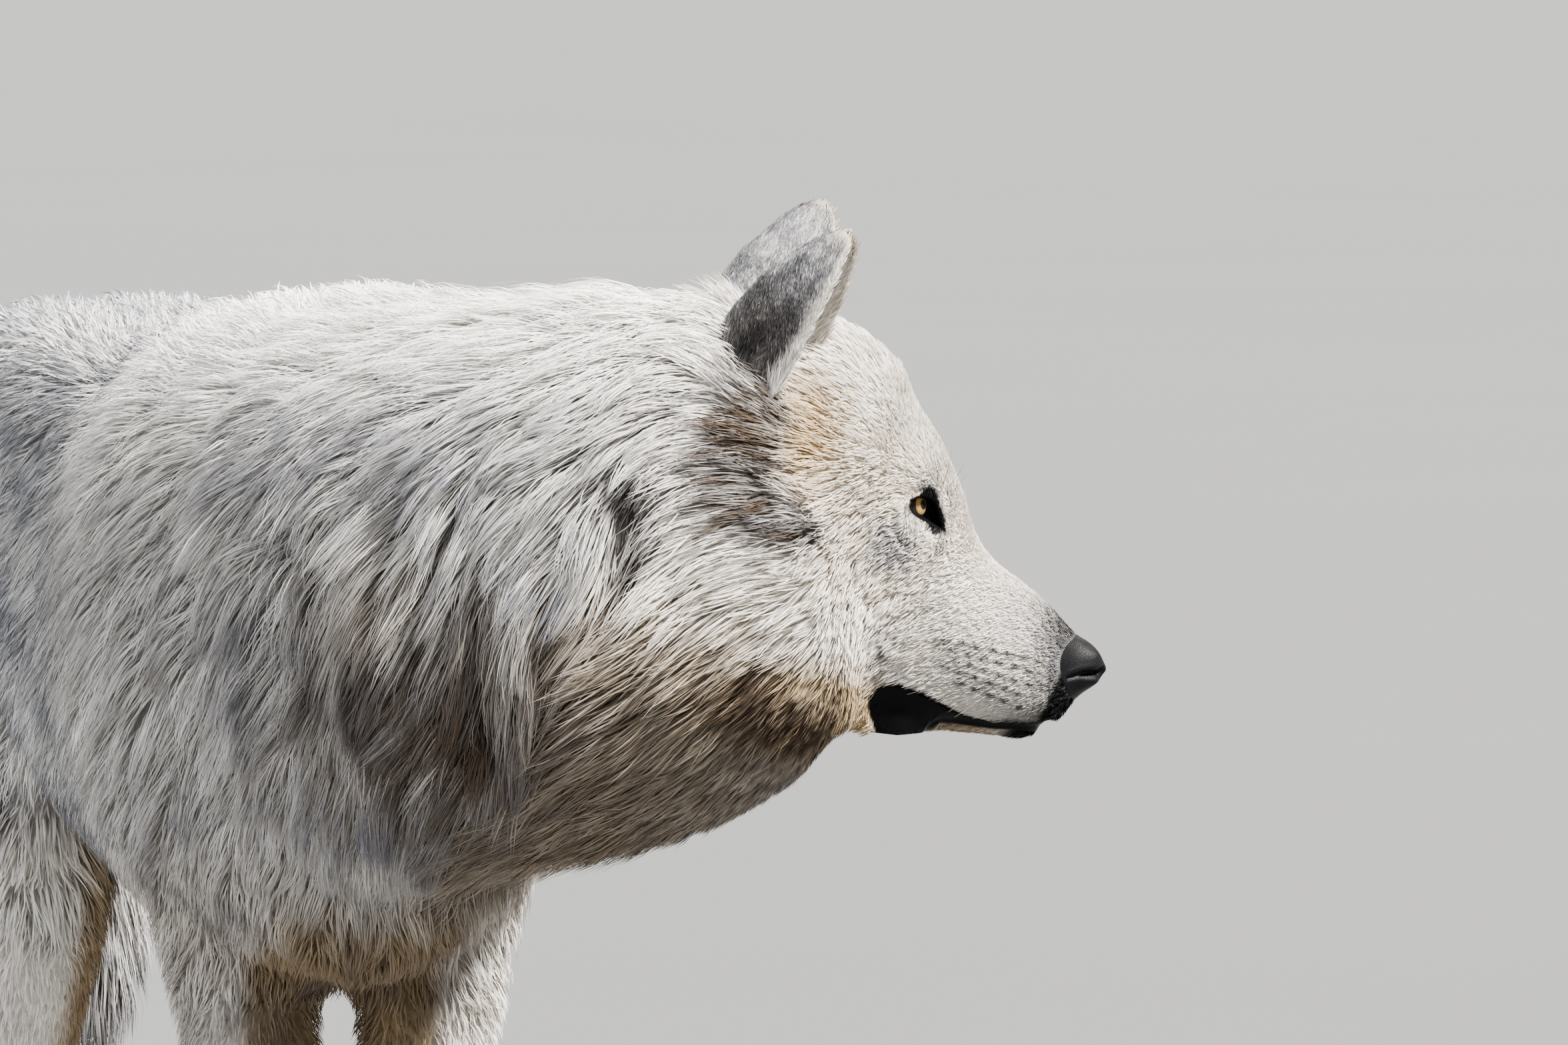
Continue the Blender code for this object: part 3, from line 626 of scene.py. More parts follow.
@dataclass
class EarLeaf:
    """One ear: a deeply cupped leaf that opens forward, with a fold at its outer edge."""

    side: int
    length: float = 0.106
    wall: float = 0.0017
    tip: Place = (-0.0365, 0.067, 0.1544)
    turned_out: float = 20.0
    leaned_out: float = 8.0
    curl: float = 105.0
    below_tip: Row = (0.0, 0.003, 0.008, 0.016, 0.026, 0.043, 0.064, 0.08, 0.12)
    back: Row = (-0.001, -0.0065, -0.011, -0.016, -0.0215, -0.031, -0.037, -0.0395, -0.039)
    front: Row = (0.001, 0.0045, 0.006, 0.007, 0.0075, 0.008, 0.008, 0.006, 0.002)
    half_width: Row = (0.001, 0.007, 0.0105, 0.0135, 0.0165, 0.0205, 0.023, 0.0235, 0.0225)
    fold_depth: float = 0.0045
    buried: float = 0.12
    rows: int = 64
    columns: int = 40

    def middle(self, height: Array, across: Array) -> Array:
        """Shape the leaf's middle sheet.

        Args:
            height: Places from the root, 0, to the tip, 1.
            across: Places from one edge, -1, to the other, 1.

        Returns:
            World places.
        """
        below = (1.0 - height) * self.length
        back, front, half = (np.interp(below, self.below_tip, edge)
                             for edge in (self.back, self.front, self.half_width))
        angle = math.radians(self.curl) * across
        fold = self.fold_depth * ridge(across * self.side - 0.8, 0.14) * ease(0.55, 0.2, height)
        depth = (1.0 - np.cos(angle)) / (1.0 - math.cos(math.radians(self.curl)))
        cup = np.stack([back + (front - back) * depth, (half - fold) * np.sin(angle), -below], axis=-1)
        turn = (Matrix.Rotation(math.radians(-self.leaned_out * self.side), 3, "X")
                @ Matrix.Rotation(math.radians(self.turned_out * self.side), 3, "Z"))
        tip = np.array(self.tip) * np.array((1.0, self.side, 1.0))
        return HEAD.world(cup @ np.array(turn).T + tip)

    def build(self) -> Surface:
        """Make the ear with its thickness.

        Returns:
            A closed surface with the values height, inner and rim.
        """
        height = np.linspace(-self.buried, 1.0, self.rows)
        across = np.sin(np.linspace(-0.5, 0.5, self.columns) * math.pi)
        high, wide = np.meshgrid(height, across, indexing="ij")
        sheet = self.middle(high, wide)
        out = np.cross(np.gradient(sheet, axis=1), np.gradient(sheet, axis=0))
        out = unit(out) * self.side_out(sheet, out)
        wall = self.wall * (1.0 - 0.6 * np.abs(wide) ** 4) * (1.0 - 0.5 * ease(0.8, 1.0, high))
        outer = sheet + out * wall[..., None]
        inner = sheet - out * wall[..., None]
        count = 2 * self.columns
        lid = np.arange(self.columns - 1)
        cap = np.stack([lid, lid + 1, count - 2 - lid, count - 1 - lid], axis=-1)
        top = cap + (self.rows - 1) * count
        corners = halved(np.concatenate([ring_faces(self.rows, count), cap[:, ::-1], top]))
        surface = Surface(self.round_the_edge(outer, inner).reshape(-1, 3), corners)
        facing = self.round_the_edge(out, -out).reshape(-1, 3)
        if dot(surface.normals(), facing).mean() < 0:
            surface.corners = corners[:, ::-1]
        surface.values["height"] = self.round_the_edge(high, high).ravel()
        surface.values["rim"] = self.round_the_edge(wide, wide).ravel() * self.side
        surface.values["inner"] = self.round_the_edge(high * 0.0, high * 0.0 + 1.0).ravel()
        return surface

    @staticmethod
    def round_the_edge(outer: Array, inner: Array) -> Array:
        """Return the values of the outer sheet followed by the inner ones on the way back."""
        return np.concatenate([outer, inner[:, ::-1]], axis=1)

    @staticmethod
    def side_out(sheet: Array, normals: Array) -> float:
        """Return 1 if normals already point to the ear's back, and -1 if they must be turned."""
        middle = sheet.shape[1] // 2
        return float(np.sign(-(normals[:, middle] @ HEAD.turn[0]).mean()))


@dataclass
class SkinMaker:
    """Grows one skin over all the frame's flesh and works the features of the face into it."""

    voxel: float = 0.008
    overlap: float = 0.0006
    cheek_rounds: int = 22
    cheek: Tuple[Place, Place] = ((0.04, 0.075, -0.035), (0.055, 0.05, 0.06))
    socket_filling: Place = (0.069, 0.0335, 0.0285)
    socket_size: Place = (0.017, 0.0085, 0.013)
    lid_room: float = 0.0015

    def gathered(self) -> Mesh:
        """Join the flesh nodes, each swollen a little so that the thin cuts between them close.

        Returns:
            A mesh of overlapping closed bodies.
        """
        whole = bmesh.new()
        for name in flesh_nodes():
            part = bmesh.new()
            part.from_mesh(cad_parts[name].data)
            bmesh.ops.remove_doubles(part, verts=part.verts[:], dist=1e-5)
            part.normal_update()
            for vertex in part.verts:
                vertex.co += vertex.normal * self.overlap
            mesh = bpy.data.meshes.new("part")
            part.to_mesh(mesh)
            part.free()
            whole.from_mesh(mesh)
        ahead, left, up = self.socket_filling
        turn = Matrix(HEAD.turn.T.tolist()).to_4x4() @ Matrix.Diagonal((*self.socket_size, 1.0))
        for side, word in ((1, "left"), (-1, "right")):
            eye = Matrix.Translation(MEASURES.node_middle("eye_" + word))
            place = Matrix.Translation(HEAD.world((ahead, left * side, up)))
            for radius, way in ((EYE_SLIT.radius + self.lid_room, eye), (1.0, place @ turn)):
                bmesh.ops.create_uvsphere(whole, u_segments=24, v_segments=16, radius=radius, matrix=way)
        mesh = bpy.data.meshes.new("gathered")
        whole.to_mesh(mesh)
        whole.free()
        return mesh

    def fused(self, mesh: Mesh) -> Mesh:
        """Fuse overlapping bodies into one even surface.

        Args:
            mesh: The overlapping bodies.

        Returns:
            The fused mesh.
        """
        thing = bpy.data.objects.new("fused", mesh)
        bpy.context.scene.collection.objects.link(thing)
        remesh = thing.modifiers.new("fuse", "REMESH")
        remesh.mode = "VOXEL"
        remesh.voxel_size = self.voxel
        ready = thing.evaluated_get(bpy.context.evaluated_depsgraph_get())
        result = bpy.data.meshes.new_from_object(ready)
        bpy.data.objects.remove(thing, do_unlink=True)
        return result

    @staticmethod
    def finer(mesh: Mesh, zone: Callable[[Array], Array]) -> Mesh:
        """Halve the faces of a mesh within a zone.

        Args:
            mesh: The mesh to divide.
            zone: Tells which of many places lie in the zone.

        Returns:
            The same mesh, divided.
        """
        middles = np.empty(len(mesh.polygons) * 3)
        mesh.polygons.foreach_get("center", middles)
        chosen = np.nonzero(zone(middles.reshape(-1, 3)))[0]
        shape = bmesh.new()
        shape.from_mesh(mesh)
        shape.faces.ensure_lookup_table()
        edges = {edge for index in chosen for edge in shape.faces[index].edges}
        bmesh.ops.subdivide_edges(shape, edges=list(edges), cuts=1, use_grid_fill=True)
        shape.to_mesh(mesh)
        shape.free()
        return mesh

    def soften_cheeks(self, surface: Surface) -> None:
        """Smooth away the step between face and cheek ruff."""
        local = mirrored(HEAD.local(surface.points))
        surface.relax(self.cheek_rounds, patch(local, *self.cheek), (0.6,))

    @staticmethod
    def head_zone(points: Array) -> Array:
        """Return which places lie on the head or the paws."""
        local = HEAD.local(points)
        return ((norms(local) < 0.23) & (local[:, 0] > -0.045)) | (points[:, 2] < 0.065)

    @staticmethod
    def face_zone(points: Array) -> Array:
        """Return which places lie around the eyes, the nose and the lips."""
        local = mirrored(HEAD.local(points))
        nose = (local[:, 0] > 0.14) & (local[:, 2] < 0.03)
        return EYE_SLIT.near(local, 0.032) | MOUTH.near(local, 0.01, 0.008, 0.07) | nose

    @staticmethod
    def fine_zone(points: Array) -> Array:
        """Return which places need a finer mesh: lids, nose pad and lip edges."""
        local = mirrored(HEAD.local(points))
        nose = (local[:, 0] > 0.165) & (local[:, 2] < 0.02)
        return EYE_SLIT.near(local, 0.019) | MOUTH.near(local, 0.004, 0.003, 0.074) | nose

    @staticmethod
    def lid_zone(points: Array) -> Array:
        """Return which places lie on the lids, where the mesh is finest."""
        return EYE_SLIT.near(mirrored(HEAD.local(points)), 0.0155)

    def build(self) -> Surface:
        """Make the skin without ears.

        Returns:
            A closed surface with the value region.
        """
        mesh = self.fused(self.gathered())
        surface = surface_of(mesh)
        surface.relax(8, 1.0 - 0.75 * self.head_zone(surface.points))
        mesh.vertices.foreach_set("co", surface.points.astype(np.float32).ravel())
        for zone, rounds in ((self.head_zone, 5), (self.face_zone, 5), (self.fine_zone, 4),
                             (self.lid_zone, 3)):
            mesh = self.finer(mesh, zone)
            surface = surface_of(mesh)
            surface.relax(rounds, zone(surface.points).astype(float))
            if zone == self.head_zone:
                self.soften_cheeks(surface)
            mesh.vertices.foreach_set("co", surface.points.astype(np.float32).ravel())
        surface.values["region"] = self.mingled(surface.points, self.regions(surface.points))
        return surface

    @staticmethod
    def mingled(points: Array, region: Array) -> Array:
        """Let the regions of head and neck mingle where their coats meet.

        Args:
            points: World places.
            region: The region of each by its CAD node.

        Returns:
            The regions, with head and neck parted along the nape and throat.
        """
        upper = np.isin(region, (Region.HEAD.value, Region.NECK.value))
        chance = np.random.default_rng(SEED).uniform(0.2, 0.8, len(points))
        on_head = head_share(HEAD.local(points)) > chance
        return np.where(upper, np.where(on_head, Region.HEAD.value, Region.NECK.value), region)

    @staticmethod
    def regions(points: Array) -> Array:
        """Find the region of each place from the nearest CAD node.

        Args:
            points: World places.

        Returns:
            A region's number for each.
        """
        places = []
        owners = []
        for name in flesh_nodes():
            surface = surface_of(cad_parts[name].data)
            third = surface.points[surface.corners]
            found = np.concatenate([surface.points, third.mean(axis=1),
                                    (third[:, 0] + third[:, 1]) / 2, (third[:, 1] + third[:, 2]) / 2])
            places.append(found)
            owners += [region_of(name).value] * len(found)
        return np.array(owners)[nearest(np.concatenate(places), points)]


@dataclass(frozen=True)
class FaceSculptor:
    """Moves the skin's points into lids, nostrils, lips and partings."""

    lid_depth: float = 0.004
    lid_roll: float = 0.0012
    crease: float = 0.001
    wing_height: float = 0.0004
    groove_depth: float = 0.0014
    lip_depth: float = 0.0022
    edge_height: float = 0.0004
    seam_depth: float = 0.003
    bead_height: float = 0.0007
    bead_pitch: float = 0.0034
    parting_depth: float = 0.011
    lip_down: Place = (-0.381, -0.149, 0.912)
    lip_ahead: Row = (0.062, 0.07, 0.0785, 0.084, 0.092, 0.1022, 0.1133, 0.1226, 0.1337, 0.1414, 0.1578)
    lip_floor: Row = (-0.1225, -0.1185, -0.115, -0.1182, -0.121, -0.1222, -0.1212, -0.1202, -0.1204,
                      -0.1212, -0.1212)

    def open_eyes(self, skin: Surface) -> None:
        """Press in the eye openings and wrap the lids round the eyeballs."""
        local = HEAD.local(skin.points)
        for side, word in ((1, "left"), (-1, "right")):
            folded = local * np.array((1.0, side, 1.0))
            gap, _, across = EYE_SLIT.gap(folded)
            gap = np.where(folded[:, 1] > EYE_SLIT.least_out, gap, FAR_OFF)
            out = HEAD.direction(unit(np.array((0.3, 0.92 * side, 0.24))))
            move = (self.lid_roll * ridge(gap - 0.0013, 0.0013)
                    - self.lid_depth * ease(0.0001, -0.0014, gap)
                    - self.crease * ridge(gap - 0.0052, 0.0013) * ease(0.0, 0.003, across))
            skin.points += out * move[:, None]
            middle = MEASURES.node_middle("eye_" + word)
            away = skin.points - middle
            radius = norms(away)
            wanted = EYE_SLIT.radius + 0.0011
            short = (gap > -0.0001) & (gap < 0.02) & (radius < wanted)
            skin.points = np.where(short[:, None], middle + unit(away) * wanted, skin.points)

    def shape_nose(self, skin: Surface) -> None:
        """Cut the nostrils and the groove under them, and raise the wings round the nostrils."""
        local = mirrored(HEAD.local(skin.points))
        normals = skin.normals()
        away, along = path_distance(local, NOSE_PAD.nostril)
        width = NOSE_PAD.nostril_width * (1.0 - 0.62 * along)
        hole = NOSE_PAD.nostril_depth * (1.0 - 0.78 * along) * ridge(away, width)
        wing = self.wing_height * ridge(away - width - 0.0022, 0.0014) * ease(0.166, 0.174, local[:, 0])
        groove = (self.groove_depth * ridge(local[:, 1], 0.0009) * ease(0.168, 0.176, local[:, 0])
                  * ease(-0.008, -0.014, local[:, 2]))
        skin.points += normals * (wing - hole - groove)[:, None]

    def part_lips(self, skin: Surface) -> None:
        """Sink the dark band of the lips under the edge of the upper lip."""
        local = HEAD.local(skin.points)
        normals = skin.normals()
        over_top, over_bottom = MOUTH.edges(local)
        inside = MOUTH.inside(local, 0.0015)
        seam = ridge(over_top + 0.0015, 0.0012) * ease(-0.002, 0.001, over_bottom)
        edge = ridge(over_top - 0.0016, 0.0018)
        beads = np.maximum(np.sin(local[:, 0] * (2 * math.pi / self.bead_pitch)), 0.0)
        bead_row = ridge(over_bottom - 0.0075, 0.0016) * ease(0.13, 0.118, local[:, 0])
        move = (self.edge_height * edge - self.lip_depth * inside - self.seam_depth * seam
                + self.bead_height * beads * bead_row * inside)
        skin.points += normals * move[:, None]
        local = mirrored(HEAD.local(skin.points))
        floor = np.interp(local[:, 0], self.lip_ahead, self.lip_floor)
        short = np.maximum(floor - local @ np.array(self.lip_down), 0.0)
        span = ease(0.058, 0.07, local[:, 0]) * ease(0.165, 0.15, local[:, 0]) * (local[:, 2] > -0.14)
        skin.points += HEAD.turn[2] * (short / self.lip_down[2] * span)[:, None]

    def press_partings(self, skin: Surface) -> None:
        """Press the coat's partings into the skin."""
        skin.points -= skin.normals() * (self.parting_depth * skin.values["parting"])[:, None]


# ---------------- the lie and length of the coat

def head_share(local: Array) -> Array:
    """Return 1 for places on the head and 0 on the body, fading over nape and throat."""
    return ease(-0.115, -0.04, local[:, 0]) * ease(0.34, 0.28, norms(local))


@dataclass(frozen=True)
class CoatPlan:
    """Sets how long, deep and wide the hair is over the skin, and which way it lies."""

    neck_line: Line = (
        (0.205, -0.283, 0.657), (0.15, -0.274, 0.642), (0.088, -0.238, 0.625),
        (0.032, -0.16, 0.612), (0.002, -0.06, 0.605), (0.0, 0.06, 0.6))
    neck_reach: float = 0.075
    hair_ahead: Row = (-0.08, -0.04, 0.0, 0.03, 0.06, 0.09, 0.12, 0.18)
    hair_length: Row = (0.05, 0.036, 0.025, 0.017, 0.012, 0.0085, 0.0062, 0.0045)
    depth_of_length: Tuple[Row, Row] = ((0.004, 0.008, 0.015, 0.03, 0.05),
                                        (0.001, 0.002, 0.0042, 0.0092, 0.0165))
    width_of_length: Tuple[Row, Row] = ((0.004, 0.01, 0.03, 0.06), (0.00045, 0.00055, 0.0007, 0.0008))
    head_droop: float = 0.08
    blend_rounds: int = 26
    fall_heights: Pair = (0.75, 0.64)
    swirl: float = 12.0

    def neck_way(self, points: Array) -> Array:
        """Find the way from head to body along the neck.

        Args:
            points: World places.

        Returns:
            Unit directions, one for each place.
        """
        place = BODY.local(points)
        line = np.array(self.neck_line)
        total = np.zeros_like(points)
        for start, end in zip(line[:-1], line[1:]):
            away = norms(place - (start + end) / 2)
            total += ridge(away, self.neck_reach)[:, None] * unit(end - start) + 1e-9 * (end - start)
        return unit(total)

    def head_coat(self, local: Array) -> Tuple[Array, Array]:
        """Set the hair's length and lie on the head.

        Args:
            local: Places on the head.

        Returns:
            Lengths, and lies as directions along the head's axes.
        """
        folded = mirrored(local)
        side = np.sign(local[:, 1])
        ahead, out, up = folded.T
        length = np.interp(ahead, self.hair_ahead, self.hair_length)
        ruff = ease(0.055, 0.0, ahead) * ease(0.01, -0.05, up)
        crown = ease(0.025, 0.065, up)
        around_eye = ease(0.02, 0.006, EYE_SLIT.gap(folded)[0])
        length = length * (1.0 + 0.45 * ruff) * (1.0 - 0.45 * crown) * (1.0 - 0.5 * around_eye)
        down = (-0.42 - 1.0 * ease(0.04, -0.05, up) * ease(0.115, 0.02, ahead)
                + 0.45 * ease(0.03, 0.06, up) * ease(0.1, 0.05, ahead))
        flare = 0.1 + 0.3 * ease(0.06, 0.0, ahead) * ease(0.05, -0.02, up)
        lie = np.stack([np.full(len(local), -1.0), flare * side, down], axis=1)
        gap, along, across = EYE_SLIT.gap(folded)
        turned = ridge(gap, 0.007) * (out > EYE_SLIT.least_out)
        lie[:, 2] += 0.8 * turned * np.sign(across)
        lie[:, 0] += 0.5 * turned * ease(0.01, 0.0, along)
        return length, lie

    def dress(self, skin: Surface) -> None:
        """Give the skin its values length, depth, width, droop and lie."""
        region = skin.values["region"]
        table = np.array([[pelt.length, pelt.depth, pelt.width, pelt.droop, *pelt.lie]
                          for pelt in (PELTS[kind] for kind in Region)])
        neck = region == Region.NECK.value
        trunk = np.isin(region, (Region.CHEST.value, Region.LOIN.value))
        rows = table[region]
        way = self.neck_way(skin.points)
        fall = ease(*self.fall_heights, BODY.local(skin.points)[:, 2])
        rows[:, 4:] += way * (neck * 0.85)[:, None]
        rows[:, 5] *= 1.0 - 0.55 * fall * trunk
        rows[:, 6] -= fall * (1.9 * neck + 0.8 * trunk)
        low = trunk * ease(0.54, 0.45, BODY.local(skin.points)[:, 2])
        rows[:, :2] *= (1.0 - 0.45 * low)[:, None]
        rows = skin.spread(rows, self.blend_rounds)
        rows[:, 3] *= 1.0 - 0.75 * ease(-0.1, -0.8, skin.normals()[:, 2])
        local = HEAD.local(skin.points)
        share = head_share(local)
        length, lie = self.head_coat(local)
        mixed = {"length": length, "depth": np.interp(length, *self.depth_of_length),
                 "width": np.interp(length, *self.width_of_length), "droop": self.head_droop}
        for column, key in enumerate(mixed):
            skin.values[key] = rows[:, column] * (1.0 - share) + mixed[key] * share
        skin.values["lie"] = rows[:, 4:7] * (1.0 - share)[:, None] + HEAD.direction(lie) * share[:, None]

    def comb(self, skin: Surface) -> None:
        """Lay the hair's directions flat on the skin and stir them a little."""
        normals = skin.normals()
        lie = skin.values["lie"]
        lie = unit(lie - normals * dot(lie, normals)[:, None])
        length = skin.values["length"]
        stir = drift(skin.points, 0.075, 3) + 0.6 * drift(skin.points, 0.022, 4)
        angle = np.radians(self.swirl) * stir * np.interp(length, (0.006, 0.04), (0.35, 1.0))
        across = np.cross(normals, lie)
        skin.values["lie"] = lie * np.cos(angle)[:, None] + across * np.sin(angle)[:, None]
        skin.values["normal"] = normals


def add_ears(skin: Surface) -> Surface:
    """Join both ears to the skin.

    Args:
        skin: The skin without ears, dressed with all its values.

    Returns:
        The whole skin, with the values height, rim and inner, which are 0 off the ears.
    """
    near = np.nonzero(norms(HEAD.local(skin.points)) < 0.16)[0]
    normals = skin.normals()
    for key in ("height", "rim", "inner", "ear_side", "bare"):
        skin.values[key] = np.zeros(len(skin.points))
    pelt = PELTS[Region.EAR]
    for side in (1, -1):
        ear = EarLeaf(side).build()
        height, rim, inner = (ear.values[key] for key in ("height", "rim", "inner"))
        found = near[nearest(skin.points[near], ear.points)]
        hem = inner * ease(0.2, 0.8, np.abs(rim)) * ease(0.9, 0.3, height)
        lie = np.stack([0.15 * inner, rim * (0.25 + 0.5 * inner), np.ones(len(rim))], axis=1)
        ear.values.update({
            "bare": ease(0.002, 0.0, dot(ear.points - skin.points[found], normals[found])),
            "length": pelt.length * (2.4 - 1.7 * ease(-0.05, 0.45, height) + 0.9 * hem),
            "lie": HEAD.direction(lie),
        })
        for key, value in (("depth", pelt.depth), ("width", pelt.width), ("droop", pelt.droop),
                           ("region", Region.EAR.value), ("parting", 0.0), ("ear_side", float(side))):
            ear.values[key] = np.full(len(rim), value)
        skin = skin.joined(ear)
    return skin


# ---------------- markings

class Mark(Enum):
    """The marks that are laid on the head in patches; DARK is grey and brown together."""

    GREY = "grey"
    BUFF = "buff"
    BROWN = "brown"
    DARK = "dark"


@dataclass(frozen=True)
class Blot:
    """A soft patch of one mark on the head: its strength, place, half-sizes, edge and flecks."""

    mark: Mark
    share: float
    centre: Place
    reach: Place
    edge: float = 0.5
    flecks: float = 0.0

    def over(self, local: Array, fine: Array) -> Array:
        """Return its strength at places on the head's left half."""
        return self.share * patch(local, self.centre, self.reach, self.edge) * (1.0 + self.flecks * fine)


@dataclass(frozen=True)
class Band:
    """A mark that grows between two places ahead and two heights on the head."""

    mark: Mark
    share: float
    ahead: Pair
    up: Pair

    def over(self, local: Array, _: Array) -> Array:
        """Return its strength at places on the head's left half."""
        return self.share * ease(*self.ahead, local[:, 0]) * ease(*self.up, local[:, 2])


HEAD_MARKS = (
    Blot(Mark.GREY, 0.85, (0.053, 0.06, 0.01), (0.014, 0.025, 0.014), 0.8),
    Blot(Mark.GREY, 0.55, (0.064, 0.047, 0.0455), (0.01, 0.014, 0.005), 0.7),
    Band(Mark.GREY, 0.5, (0.138, 0.17), (-0.05, -0.01)),
    Band(Mark.GREY, 0.2, (0.08, 0.12), (-0.02, -0.05)),
    Blot(Mark.GREY, 0.3, (-0.015, 0.1, 0.004), (0.024, 0.04, 0.012), flecks=0.5),
    Blot(Mark.BUFF, 0.66, (-0.02, 0.072, 0.05), (0.023, 0.03, 0.034), 0.7),
    Blot(Mark.BUFF, 0.75, (0.05, 0.065, -0.088), (0.055, 0.06, 0.026)),
    Blot(Mark.BUFF, 0.7, (0.14, 0.0, -0.078), (0.03, 0.04, 0.014)),
    Blot(Mark.BUFF, 0.22, (0.035, 0.07, 0.02), (0.06, 0.04, 0.05)),
    Band(Mark.BUFF, 0.3, (0.05, -0.02), (-0.02, -0.1)),
    Band(Mark.BUFF, 0.26, (0.1, 0.07), (-0.045, -0.08)),
    Blot(Mark.DARK, 0.98, (-0.044, 0.095, 0.028), (0.022, 0.04, 0.03), flecks=0.5),
    Blot(Mark.DARK, 0.84, (-0.052, 0.08, 0.052), (0.021, 0.04, 0.025), flecks=0.5),
    Blot(Mark.DARK, 0.84, (-0.014, 0.103, 0.0), (0.028, 0.04, 0.013), flecks=0.5),
    Blot(Mark.BROWN, 0.75, (0.008, 0.104, -0.082), (0.012, 0.03, 0.013), flecks=0.4),
    Blot(Mark.BROWN, 0.55, (0.03, 0.09, -0.097), (0.034, 0.04, 0.012), 0.8),
    Blot(Mark.BROWN, 0.6, (0.0739, 0.0483, -0.0475), (0.004, 0.01, 0.0035)),
    Blot(Mark.BROWN, 0.6, (0.08, 0.042, 0.02), (0.0035, 0.012, 0.008)),
    Band(Mark.BROWN, 0.4, (0.135, 0.165), (-0.02, 0.0)),
    Blot(Mark.BROWN, 0.45, (0.142, 0.0, -0.08), (0.026, 0.04, 0.01)),
)


